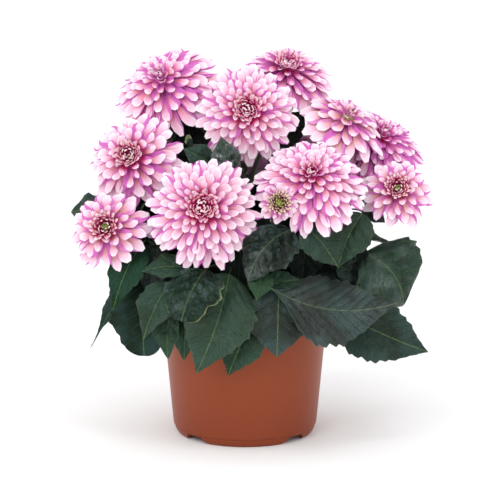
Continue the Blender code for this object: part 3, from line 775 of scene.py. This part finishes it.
def pot_paint():
    """Terracotta plastic, cloudy and faintly specked, with painted shade darkening it towards the foot."""
    paint = Paint("pot plastic", Roughness=0.4, Specular_IOR_Level=0.22)
    place = paint.place()
    paint.colour = paint.mix(paint.noise(place, 9, 3), (139, 63, 32), (150, 69, 37))
    speck = paint.ease(paint.noise(place, 260, 3), 0.62, 0.8)
    paint.coat(speck * 0.25, (120, 56, 36))
    # Painted shade: the colour darkens towards the foot, with height in the object
    height = paint.node("SeparateXYZ", {0: place}, 2)
    paint.coat((1 - paint.ease(height, 0.0, 0.13)) * 0.5, (112, 46, 24))
    return paint.finish(paint.noise(place, 1400, 2), 0.00008, 0.5)


def soil_paint(name, dark, light):
    paint = Paint(name, Roughness=0.95)
    place = paint.place()
    paint.colour = paint.mix(paint.noise(place, 320, 4), dark, light)
    return paint.finish(paint.noise(place, 1100, 4), 0.0008)


# The pot and its soil

def wall_radius(height):
    """The pot wall's outer radius at a height above the floor."""
    share = (height - FOOT_HEIGHT) / (POT_HEIGHT - FOOT_HEIGHT)
    return WALL_FOOT_RADIUS + (RIM_RADIUS - WALL_FOOT_RADIUS) * share


def arc(centre, radius, first, last, steps=5):
    """Points of a profile on part of a circle, between two angles in degrees."""
    points = []
    for step in range(steps + 1):
        angle = radians(mix(first, last, step / steps))
        points.append((centre[0] + radius * cos(angle), centre[1] + radius * sin(angle)))
    return points


def pot_profile():
    """The pot's section, from under its floor, up its outer side and down its inside to the floor."""
    lip_low = POT_HEIGHT - LIP_HEIGHT
    lip_out = RIM_RADIUS + LIP_PROUD
    rim_round = WALL * 0.45
    rim_middle = POT_HEIGHT - rim_round
    under = FOOT_HEIGHT - WALL
    inner_foot = FLOOR_RADIUS - FOOT_WALL
    wall_foot = FOOT_HEIGHT + CORNER_CLEAR
    profile = [
        (DRAIN_HOLE_RADIUS, under),
        (DRAIN_RING_RADIUS, under),
        (inner_foot - FOOT_ROUND, under),
        (inner_foot, under - FOOT_ROUND),
        (inner_foot, FOOT_ROUND),
        (inner_foot + FOOT_ROUND, 0),
        (FLOOR_RADIUS - FOOT_ROUND, 0),
        (FLOOR_RADIUS + 0.0004, FOOT_ROUND),
    ]
    for share in np.linspace(0, 1, 7)[1:]:
        height = (FOOT_HEIGHT - STEP_IN / 2) * share
        profile.append((foot_radius(height), height))
    profile += arc((WALL_FOOT_RADIUS - EDGE_ROUND, FOOT_HEIGHT + EDGE_ROUND), EDGE_ROUND, -60, 0, 3)
    profile += [(wall_radius(h), h) for h in np.linspace(wall_foot, lip_low - EDGE_ROUND, 22)]
    profile.append((wall_radius(lip_low) + 0.0004, lip_low))
    profile += arc((lip_out - EDGE_ROUND, lip_low + EDGE_ROUND), EDGE_ROUND, -90, 0, 3)
    profile += arc((lip_out - rim_round, rim_middle), rim_round, 0, 90, 4)
    profile += arc((RIM_RADIUS - WALL + rim_round, rim_middle), rim_round, 90, 180, 4)
    profile += [(wall_radius(h) - WALL, h) for h in np.linspace(lip_low, wall_foot, 12)]
    corner = (WALL_FOOT_RADIUS - WALL - CORNER_ROUND, FOOT_HEIGHT + CORNER_ROUND)
    profile += arc(corner, CORNER_ROUND, 0, -90, 4)
    return profile + [(DRAIN_RING_RADIUS, FOOT_HEIGHT), (DRAIN_HOLE_RADIUS, FOOT_HEIGHT)]


def foot_radius(height):
    """The outer radius of the foot, which curves in under the wall."""
    share = min(1, height / (FOOT_HEIGHT - STEP_IN / 2))
    return mix(FLOOR_RADIUS, WALL_FOOT_RADIUS - STEP_IN, share) + FOOT_BULGE * hump(share)


def notch_height(angles):
    """How high the foot's lower edge is at each angle round the pot."""
    turn = (angles / tau * NOTCHES) % 1 - 0.5
    off = np.abs(turn) * tau / NOTCHES
    return (FOOT_HEIGHT - WALL) * (1 - ease(off, NOTCH_HALF_TOP, NOTCH_HALF_FOOT))


def make_pot():
    """The moulded pot, with its notched foot and its drain holes."""
    points, faces = turned(pot_profile(), POT_STEPS)
    radius = np.hypot(points[:, 0], points[:, 1])
    angle = np.arctan2(points[:, 1], points[:, 0])
    low = (radius > FLOOR_RADIUS - FOOT_WALL - 0.0001) & (points[:, 2] < FOOT_HEIGHT - STEP_IN / 2)
    raised = np.maximum(points[:, 2], notch_height(angle))
    outer = low & (radius > FLOOR_RADIUS - FOOT_WALL / 2) & (raised > points[:, 2])
    grown = np.array([foot_radius(height) for height in raised])
    scale = np.where(outer, grown / np.maximum(radius, WALL), 1)
    points[:, :2] *= scale[:, None]
    points[:, 2] = np.where(low, raised, points[:, 2])
    growth = Growth()
    growth.add(points, faces)
    drill(growth.model("moulded_pot", "pot", "pot", [pot_paint()], 35))


def drill(pot):
    """Cuts the drain holes through the pot's floor."""
    growth = Growth()
    for hole in range(DRAIN_HOLES):
        angle = tau * (hole + 0.25) / DRAIN_HOLES
        points, faces = turned([(DRAIN_HOLE_RADIUS, 0.001), (DRAIN_HOLE_RADIUS, 2 * FOOT_HEIGHT)], 24)
        points += (DRAIN_RING_RADIUS * cos(angle), DRAIN_RING_RADIUS * sin(angle), 0)
        growth.add(points, faces)
    cutter = bpy.data.objects.new("drill", growth.mesh("drill"))
    pot.modifiers.new("drain holes", "BOOLEAN").object = cutter
    graph = bpy.context.evaluated_depsgraph_get()
    drilled = bpy.data.meshes.new_from_object(pot.evaluated_get(graph))
    pot.modifiers.clear()
    pot.data = drilled
    bpy.data.objects.remove(cutter)


def soil_height(radius):
    """The height of the crowned soil at a distance from the pot's axis."""
    return POT_HEIGHT - SOIL_BELOW_RIM + SOIL_CROWN * (1 - (radius / RIM_RADIUS) ** 2)


def lumpy(x, y):
    """The height of the soil's lumps at a place."""
    return sum(depth * noise.noise((x * scale, y * scale, scale)) for scale, depth in SOIL_LUMPS)


def crumb(draw, size):
    """A loose lump: a small rough ball with few sides."""
    points, faces = turned(CRUMB_PROFILE, CRUMB_SIDES)
    stretch = np.array([draw.uniform(*stray) for stray in CRUMB_STRETCH])
    rough = np.array([draw.uniform(*CRUMB_ROUGH) for point in points])[:, None]
    return points * stretch * rough * size, faces


def make_soil():
    """The crumbly soil that fills the pot round the stems."""
    edge_height = POT_HEIGHT - SOIL_BELOW_RIM
    edge = wall_radius(edge_height) - WALL - SOIL_CLEAR
    low = FOOT_HEIGHT + SEAT_GAP
    foot = WALL_FOOT_RADIUS - WALL - SOIL_CLEAR - SOIL_FOOT_IN
    profile = [(foot / 2, low), (foot, low)]
    profile.append((wall_radius(low + SOIL_CORNER) - WALL - SOIL_CLEAR, low + SOIL_CORNER))
    profile += [(edge * share, soil_height(edge * share)) for share in np.linspace(1, 0.02, SOIL_RINGS)]
    points, faces = turned(profile, SOIL_STEPS)
    for point in points:
        if point[2] > edge_height - 0.0001:
            point[2] += lumpy(point[0], point[1])
    growth = Growth()
    growth.add(points, faces)
    draw = random.Random(SOIL_SEED)
    for number in range(CRUMBS):
        radius = (edge - CRUMB_EDGE) * sqrt(draw.random())
        angle = draw.uniform(0, tau)
        x, y = radius * cos(angle), radius * sin(angle)
        points, faces = crumb(draw, draw.uniform(*CRUMB_SIZE))
        points += (x, y, soil_height(radius) + lumpy(x, y))
        kind = draw.choices((0, 1, 2), CRUMB_SHARES)[0]
        growth.add(points, faces, kind=kind)
    paints = [soil_paint(*looks) for looks in SOIL_COLOURS]
    growth.model("potting_soil", "soil", "soil", paints, 60)


# The leafy stems

def bezier(points, count):
    """Points along a cubic Bezier curve."""
    a, b, c, d = (Vector(point) for point in points)
    line = []
    for step in range(count):
        t = step / (count - 1)
        u = 1 - t
        line.append(a * u**3 + b * (3 * u * u * t) + c * (3 * u * t * t) + d * t**3)
    return line


def leaf_axes(leaf):
    """A leaf's base, its run to the tip, and the way that it faces, square to the run."""
    base = Vector(leaf.base)
    run = Vector(leaf.tip) - base
    along = run.normalized()
    face = Vector(leaf.face)
    return base, run, (face - along * along.dot(face)).normalized()


def tooth_rows(teeth):
    """Places along a blade, close enough to give each tooth a point and a notch."""
    places = {0.001, 0.008, 0.020, 0.992}
    for tooth in range(teeth):
        for part in (0, 0.3, 0.56, TOOTH_LEAN, 0.86):
            places.add((tooth + part) / teeth)
    return np.array(sorted(place for place in places if 0.001 <= place <= 0.992))


def add_blade(growth, leaf, tint, columns=BLADE_COLUMNS):
    """A toothed, veined and quilted blade with a raised rib under it."""
    base, run, face = leaf_axes(leaf)
    length = run.length
    side = run.normalized().cross(face)
    coarse = max(LEAST_COARSE, round(length / COARSE_TOOTH))
    fine = max(LEAST_FINE, round(length / FINE_TOOTH))
    veins = max(LEAST_VEINS, round(length / VEIN_GAP))
    s = tooth_rows(fine)[:, None]
    columns += QUILT_COLUMNS * (leaf.quilt > FLAT_QUILT)
    v = np.linspace(-1, 1, columns)[None, :]
    taper = np.sin(np.pi * s**leaf.widest) ** (leaf.neck + (TAPER_GAIN - leaf.blunt) * s)
    teeth = COARSE_DEPTH * (sawtooth(s * coarse) - 0.5) + FINE_DEPTH * (sawtooth(s * fine) - 0.5)
    half = v * leaf.width / 2 * taper * (1 + teeth * np.abs(v) ** 5)
    across = taper * np.abs(v)
    between = hump(veins * (s - VEIN_SLANT * across))
    cross_between = hump(across * 4 + 0.5 * np.floor(veins * (s - VEIN_SLANT * across)))
    quilt = QUILT * leaf.quilt * between * mix(QUILT_CREASE, 1, cross_between) * mix(*QUILT_FADE, s)
    quilt = quilt * np.minimum(1, across / MIDRIB_HALF) * mix(*QUILT_SIDES, across) * (1 - np.abs(v) ** 6)
    bow = length * hump(s)
    wave = WAVE_SHARE * 2 * half * np.sin(tau * WAVES * s)
    lift = leaf.arch * bow + leaf.fold * np.abs(half) + wave + quilt
    grid = (
        np.array(base)
        + s[..., None] * np.array(run)
        + (half + leaf.bend * bow)[..., None] * np.array(side)
        + lift[..., None] * np.array(face)
    )
    rim = np.abs(v) + leaf.rim * ease(s - 0.3 * v, 0.3, 0.7)
    shares = s, (taper * v)[:, ::-1], rim[:, ::-1]
    marks = (*shares, leaf.width / 2, veins, tint, leaf.quilt, UNDER, leaf.sheen)
    growth.add_sheet(grid[:, ::-1], BLADE_THICKNESS, marks, LEAF)
    middle = grid[:, columns // 2][2:-3] - np.array(face) * RIB_RADIUS
    growth.add(*tube(middle, RIB_RADII, PETIOLE_SIDES), kind=STEM)


def stalk_root(line, base):
    """The point of a stem's line that a leaf's stalk grows from, which is lower than the leaf."""
    height = base.z - PETIOLE_CLIMB * (base - line[2]).xy.length
    for here, there in zip(line[2:], line[3:]):
        if here.z <= height <= there.z:
            return here.lerp(there, (height - here.z) / (there.z - here.z))
    return line[2]


def add_leaf(growth, leaf, line, tint, columns=BLADE_COLUMNS):
    """A blade and the stalk that carries it from the stem."""
    add_blade(growth, leaf, tint, columns)
    base, run, face = leaf_axes(leaf)
    lift = leaf.arch * run.length * hump(PETIOLE_IN_BLADE)
    inside = base + run * PETIOLE_IN_BLADE + face * lift
    root = stalk_root(line, base)
    rise = UP * (PETIOLE_RISE * (base - root).length)
    ends = (root, root.lerp(base, 1 / 3) + rise, 2 * base - inside, base)
    growth.add(*tube(bezier(ends, PETIOLE_POINTS), PETIOLE_RADII, PETIOLE_SIDES), kind=STEM)


def rear_leaves(sector, draw):
    """Leaves that hang in tiers round the back of the plant, over a sector given in degrees."""
    for tier, height in enumerate(REAR_TIERS):
        for step in range(REAR_LEAVES_A_TIER):
            degrees = mix(*sector, (step + 0.5) / REAR_LEAVES_A_TIER)
            angle = radians(degrees + draw.uniform(-1, 1))
            outward = Vector((cos(angle), sin(angle), 0))
            near = REAR_REACH[0] + REAR_TIER_OUT * tier
            far = REAR_REACH[1] - REAR_TIER_IN * tier + draw.uniform(-REAR_JITTER, REAR_JITTER)
            base = outward * near + UP * (height + REAR_STAGGER * (step % 2))
            tip = outward * far
            tip.z = base.z - draw.uniform(*REAR_DROP)
            width = draw.uniform(*REAR_WIDTH)
            yield Leaf(base, tip, width, REAR_ARCH, (0, 0, 1))


def hides_in_bloom(leaf):
    """Whether any part of a leaf is in a bloom."""
    base, run, face = leaf_axes(leaf)
    side = face.cross(run).normalized() * leaf.width / 2
    corners = (
        base + run * share + side * aside
        for share in (0, 0.35, 0.7, 1.05) for aside in (-1, 0, 1)
    )
    return any(in_bloom(corner) for corner in corners)


def screen_leaves():
    """Leaves that hang in rows behind the front ones, darkened with painted shade."""
    draw = random.Random(SCREEN_SEED)
    leaves = []
    for height, depth in SCREEN_ROWS:
        for x in np.linspace(*SCREEN_REACH, SCREEN_LEAVES_A_ROW):
            base = Vector((x + draw.uniform(*SCREEN_SHIFT), depth + draw.uniform(*SCREEN_DEPTH), height))
            tip = base + Vector((draw.uniform(*SCREEN_SWAY), -SCREEN_OUT, -draw.uniform(*SCREEN_LENGTH)))
            # Painted shade: a green below nought darkens these leaves
            leaf = Leaf(base, tip, draw.uniform(*SCREEN_WIDTH), 0.08, FRONT, green=-0.4)
            if not hides_in_bloom(leaf):
                leaves.append(leaf)
    return leaves


def in_bloom(point):
    """Whether a point is in or very near a bloom's petals."""
    for bloom in BLOOMS.values():
        offset = point - Vector(bloom.seat)
        facing = Vector(bloom.facing).normalized()
        height = offset.dot(facing)
        out = (offset - facing * height).length
        low = -BLOOM_UNDERSIDE * out - BLOOM_CLEAR
        if out < bloom.radius + BLOOM_CLEAR and low < height < BLOOM_TOP * bloom.radius:
            return True
    return False


def shade_leaves():
    """Leaves in the shade between the stems, each clear of the blooms."""
    draw = random.Random(SHADE_SEED)
    leaves = []
    for attempt in range(SHADE_TRIES):
        place = Vector(draw.uniform(-1, 1) for axis in range(3))
        outward = Vector((place.x, place.y, 0)).normalized()
        length = draw.uniform(*SHADE_LENGTH)
        slope = draw.uniform(*SHADE_SLOPE)
        swing = draw.uniform(*SHADE_SWING)
        width = draw.uniform(*SHADE_WIDTH)
        if place.length > 1 or len(leaves) == SHADE_LEAVES:
            continue
        base = Vector(SHADE_MIDDLE) + Vector(a * b for a, b in zip(place, SHADE_SPREAD))
        aside = Vector((-outward.y, outward.x, 0))
        way = (outward * SHADE_OUT + aside * swing + UP * slope).normalized()
        # Painted shade: a green below nought darkens these leaves
        leaf = Leaf(base, base + way * length, width, 0.10, outward + UP * SHADE_FACE_UP, green=-0.2)
        if not hides_in_bloom(leaf):
            leaves.append(leaf)
    return leaves


def calyx_size(bloom):
    """The height and the radius of the green cup under a bloom."""
    return [bloom.radius * mix(*shares, bloom.opening) for shares in (CALYX_HEIGHT, CALYX_RADIUS)]


def on_bloom(points, bloom, angle=0):
    """Turns points about a bloom's axis, and puts them on its seat, facing its way."""
    c, s = cos(angle), sin(angle)
    turn = np.array([[c, -s, 0], [s, c, 0], [0, 0, 1]])
    facing = np.array(Vector(bloom.facing).to_track_quat("Z", "Y").to_matrix())
    return points @ turn.T @ facing.T + np.array(bloom.seat)


def add_bract(growth, bloom, step, bract):
    """A small green blade under the bloom."""
    height, radius = calyx_size(bloom)
    length = radius * bract.length
    s = np.linspace(0.02, 0.985, 9)[:, None]
    v = np.linspace(-1, 1, 5)[None, :]
    half = v * (radius * bract.width) / 2 * np.sin(np.pi * s**0.7) ** 0.8
    out = radius * bract.start + length * s * cos(bract.rise) + 0 * v
    up = length * s * sin(bract.rise) - bract.curl * length * s**2 + 0.25 * np.abs(half)
    grid = np.stack([out, half, up - height * BRACT_DROP], axis=-1)
    angle = tau * step / BRACTS + bract.turn
    growth.add_sheet(on_bloom(grid, bloom, angle), BLADE_THICKNESS, BRACT_MARKS, LEAF)


def add_calyx(growth, bloom):
    """The green cup and bracts that a bloom sits on. Returns the point low in it where the stem ends."""
    facing = Vector(bloom.facing).normalized()
    height, radius = calyx_size(bloom)
    top = Vector(bloom.seat) - facing * SEAT_GAP
    profile = [(NECK_RADIUS, -height)]
    for share in (0.15, 0.35, 0.6, 0.85, 1):
        width = mix(NECK_RADIUS, radius, sin(share * pi / 2) ** 0.8)
        profile.append((width, -height * (1 - share)))
    points, faces = turned(profile, CALYX_SIDES)
    growth.add(on_bloom(points - (0, 0, SEAT_GAP), bloom), faces, kind=STEM)
    for step in range(BRACTS):
        for bract in OPEN_BRACTS if bloom.opening else BUD_BRACTS:
            add_bract(growth, bloom, step, bract)
    return top - facing * height * CALYX_OVERLAP


def grown(root, neck, bloom, rise, arrival):
    """A stem's line, which leaves its root upwards and comes to a bloom the way that its neck faces."""
    way = Vector(bloom.neck or bloom.facing).normalized()
    reach = (neck - root).length
    bends = (root, root + UP * (reach * rise), neck - way * reach * arrival, neck)
    return bezier(bends, (STEM_POINTS - 1) * STEM_DETAIL + 1)


def add_stem(growth, stem):
    """A stem and its branches, each ending in a calyx. Returns the stem's own coarse line."""
    x, y = stem.foot
    top = soil_height(hypot(x, y))
    foot = Vector((x, y, top - HOLE_DEPTH + SEAT_GAP))
    collar = Vector((x, y, top + COLLAR))
    for number, bloom in enumerate(BLOOMS[name] for name in stem.blooms):
        neck = add_calyx(growth, bloom)
        if number:
            fork = coarse[2].lerp(coarse[-1], BRANCH_SHARE)
            root = min(coarse[2:-1], key=lambda point: (point - fork).length)
            line = grown(root, neck, bloom, BRANCH_RISE, BRANCH_ARRIVAL)
        else:
            line = [foot] + grown(collar, neck, bloom, STEM_RISE, STEM_ARRIVAL)
            coarse = [foot] + line[1::STEM_DETAIL]
        radius = BRANCH_RADIUS if number else STEM_RADIUS
        growth.add(*tube(line, (radius, NECK_RADIUS), STEM_SIDES), kind=STEM)
    return coarse


def make_leafy_stems(paints):
    """Each leafy stem, with its side branches, stalks, leaves and calyxes."""
    rear_draw = random.Random(REAR_SEED)
    tint_draw = random.Random(TINT_SEED)
    plants = {}
    for name, stem in STEMS.items():
        growth = Growth(LEAF_MARKS)
        line = add_stem(growth, stem)
        plants[name] = growth, line
        leaves = list(stem.leaves)
        if stem.rear_sector:
            leaves += rear_leaves(stem.rear_sector, rear_draw)
        for leaf in leaves:
            add_leaf(growth, leaf, line, leaf.green + tint_draw.uniform(*TINT_STRAY))
    for leaf in screen_leaves() + shade_leaves():
        growth, line = min(
            plants.values(), key=lambda plant: (stalk_root(plant[1], leaf.base) - leaf.base).length
        )
        # Painted shade, deepened at random on the screen and shade leaves
        tint = leaf.green - tint_draw.uniform(*SHADE_TINT_DROP)
        add_leaf(growth, leaf, line, tint, SHADE_COLUMNS)
    for name, plant in plants.items():
        plant[0].model("fine_" + name, name, "leaf", paints, 50)


# The blooms

def curve(start, bend, end, t):
    """A quadratic Bezier curve at the shares t of its run, and half its slope there."""
    value = start * (1 - t) ** 2 + bend * 2 * t * (1 - t) + end * t * t
    return value, (bend - start) * (1 - t) + (end - bend) * t


def petal_grid(bloom, reach, draw):
    """The middle surface of one petal, whose tip reaches a share of the bloom's radius out.

    Returns it with how far inward and how near the centre the petal is, and the places of its rows
    and columns.
    """
    inward = min(1, (1 - reach) / (1 - bloom.inner))
    centre = max(0, 1 - reach / bloom.inner)
    rim, crown, spread = (mix(*pair, bloom.opening) for pair in (RIM, CROWN, SPREAD))
    root_x = mix(ROOT_OUT, reach * FLORET_ROOT, centre)
    root_z = ROOT_LOW + ROOT_RISE * inward
    tip_x = reach * spread * draw.uniform(*REACH_STRAY)
    tip_z = mix(rim, crown, inward**DOME_SHAPE) + draw.uniform(-HEIGHT_STRAY, HEIGHT_STRAY)
    tip_z -= CENTRE_SINK * centre
    bend_x = mix(tip_x * BEND_OUT, tip_x * FLORET_BEND, centre)
    bend_z = max(tip_z, root_z) * BEND_UP + BEND_LIFT + BEND_GAIN * inward
    rows, side = (FLORET_ROWS, FLORET_CREASE) if centre else (PETAL_ROWS, PETAL_CREASE)
    t = 1 - (1 - np.linspace(0, 1, rows)[:, None]) ** ROW_CROWDING
    middle_x, slope_x = curve(root_x, bend_x, tip_x, t)
    middle_z, slope_z = curve(root_z, bend_z, tip_z, t)
    steep = np.hypot(slope_x, slope_z)
    slope_x, slope_z = slope_x / steep, slope_z / steep
    width = bloom.floret if centre else PETAL_WIDTH * bloom.width * reach**bloom.narrowing
    width *= draw.uniform(*WIDTH_STRAY)
    growing = mix(PETAL_ROOT_WIDTH, 1, ease(t, 0, PETAL_WIDEST))
    end = np.clip((t - PETAL_WIDEST) / (1 - PETAL_WIDEST), 0, 1)
    corner = bloom.blunt * draw.uniform(*BLUNT_STRAY)
    closing = np.minimum(1, (1 - end * (1 - LEAST_TIP)) / (1 - corner * (1 - LEAST_TIP)))
    half = width / 2 * growing * closing
    root_fold = radians(mix(*ROOT_FOLD, 1 - reach)) / 2
    cupped = CUP_FOLD * (1 - ease(reach - bloom.inner, *CUP_REACH)) * (centre == 0)
    tip_fold = radians(mix(*TIP_FOLD, (1 - reach) ** 2) * draw.uniform(*FOLD_STRAY) + cupped) / 2
    fold = mix(root_fold, tip_fold, ease(t, 0.10, 0.95))
    turned_up = fold * ease((side[1:] + side[:-1]) / 2, *CREASE)
    # The petal's sections as complex numbers, with aside as the real part and rise as the imaginary one
    section = np.cumsum(np.diff(side) * np.exp(1j * turned_up), axis=1)
    section = half * np.hstack([-section.conj()[:, ::-1], 0 * t, section])
    section = section * np.exp(1j * draw.uniform(-ROLL_STRAY, ROLL_STRAY))
    v = np.concatenate([-side[:0:-1], side])[None, :]
    sway = draw.uniform(-SWAY_STRAY, SWAY_STRAY)
    y = section.real + sway * t**2 + width / 2 * draw.uniform(-TIP_SKEW, TIP_SKEW) * end
    rise = section.imag + TIP_LIFT * end**2
    grid = np.stack([middle_x - slope_z * rise, y, middle_z + slope_x * rise], axis=-1)
    return grid * bloom.radius, inward, centre, t, v


def petal_reaches(bloom):
    """How far out each petal's tip lies, from the outermost petal to the last floret."""
    petals = 1 - (1 - bloom.inner) * np.linspace(0, 1, bloom.petals, endpoint=False) ** LAYER_POWER
    florets = bloom.inner * np.sqrt(1 - np.linspace(0, 1, bloom.florets, endpoint=False))
    return np.concatenate([petals, florets - 0.001])


def in_parting(bloom, angle, reach):
    """Whether a petal would lie in the gap where a heavy bloom has parted."""
    if bloom.parting is None or not PARTING_REACH[0] <= reach < PARTING_REACH[1]:
        return False
    off = (angle - bloom.parting + pi) % tau - pi
    return abs(off) < PARTING_HALF


def make_bloom(name, bloom, phase, paint):
    """A double bloom: petals by the golden angle, from the drooping rim to the rolled florets."""
    draw = random.Random(phase + 1)
    growth = Growth(PETAL_MARKS)
    tall = mix(BUD_CORE_HEIGHT, 1, bloom.opening)
    profile = [
        (CORE_WIDTH * cos(a) * bloom.radius, CORE_HEIGHT * (1 + sin(a)) / 2 * bloom.radius * tall)
        for a in np.linspace(-1.4, 1.4, 8)
    ]
    points, faces = turned(profile, CORE_SIDES)
    marks = (0.1, 0, 0, bloom.deep, min(1, 2.5 * bloom.young), 0.5, bloom.tone, bloom.young)
    growth.add(on_bloom(points, bloom), faces, marks)
    for step, reach in enumerate(petal_reaches(bloom)):
        angle = step * GOLDEN_ANGLE + phase + draw.uniform(-ANGLE_STRAY, ANGLE_STRAY)
        if in_parting(bloom, angle, reach):
            continue
        grid, inward, centre, t, v = petal_grid(bloom, reach, draw)
        tint = draw.random()
        tone = bloom.tone * draw.uniform(*TONE_STRAY)
        marks = (t, v, UNDER, inward * bloom.deep, centre, tint, tone, bloom.young)
        growth.add_sheet(on_bloom(grid, bloom, angle), PETAL_THICKNESS, marks)
    growth.model("fine_" + name, name, "petal", [paint], 70)


# The stage

def aim(thing, place, target):
    thing.location = place
    thing.rotation_mode = "QUATERNION"
    thing.rotation_quaternion = (Vector(target) - Vector(place)).to_track_quat("-Z", "Y")


def make_camera():
    """The photograph's view: level with the blooms, looking slightly down."""
    data = bpy.data.cameras.new("camera")
    data.angle = 2 * atan(PHOTO_PIXELS / PIXELS_A_METRE / 2 / CAMERA_DISTANCE)
    data.clip_end = 200
    camera = show("camera", data)
    target = UP * CAMERA_AIM
    away = Vector((0, -cos(CAMERA_RISE), sin(CAMERA_RISE))) * CAMERA_DISTANCE
    aim(camera, target + away, target)
    bpy.context.scene.camera = camera


def make_lamp(name, place, size, power, colour):
    data = bpy.data.lights.new(name, "AREA")
    data.shape = "RECTANGLE"
    data.size, data.size_y = size
    data.energy = power
    data.color = colour
    aim(show(name, data), place, LAMP_AIM)


def make_stage():
    """A plain pale floor under soft studio light."""
    data = bpy.data.meshes.new("floor")
    far = FLOOR_REACH
    data.from_pydata([(-far, -far, 0), (far, -far, 0), (far, far, 0), (-far, far, 0)], [], [(0, 1, 2, 3)])
    paint = Paint("pale floor", Roughness=0.9, Specular_IOR_Level=0.1, Base_Color=FLOOR_COLOUR)
    data.materials.append(paint.made)
    floor = show("floor", data)
    floor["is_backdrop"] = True
    world = bpy.data.worlds.new("studio")
    world.use_nodes = True
    sky = world.node_tree.nodes["Background"].inputs
    sky["Color"].default_value = (1, 1, 1, 1)
    sky["Strength"].default_value = SKY_POWER
    bpy.context.scene.world = world
    sun = bpy.data.lights.new("sun", "SUN")
    sun.energy = SUN_POWER
    sun.angle = SUN_WIDTH
    aim(show("sun", sun), SUN_PLACE, (0, 0, 0))
    for name, facts in LAMPS.items():
        make_lamp(name, *facts)
    bpy.context.scene.view_settings.view_transform = "Standard"


def main():
    make_camera()
    make_stage()
    make_pot()
    make_soil()
    make_leafy_stems([leaf_paint(), stem_paint()])
    petals = petal_paint()
    for phase, (name, bloom) in enumerate(BLOOMS.items()):
        make_bloom(name, bloom, phase, petals)
    [[list(corner) for corner in box] for box in (CAD_BOUNDS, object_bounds())]


main()
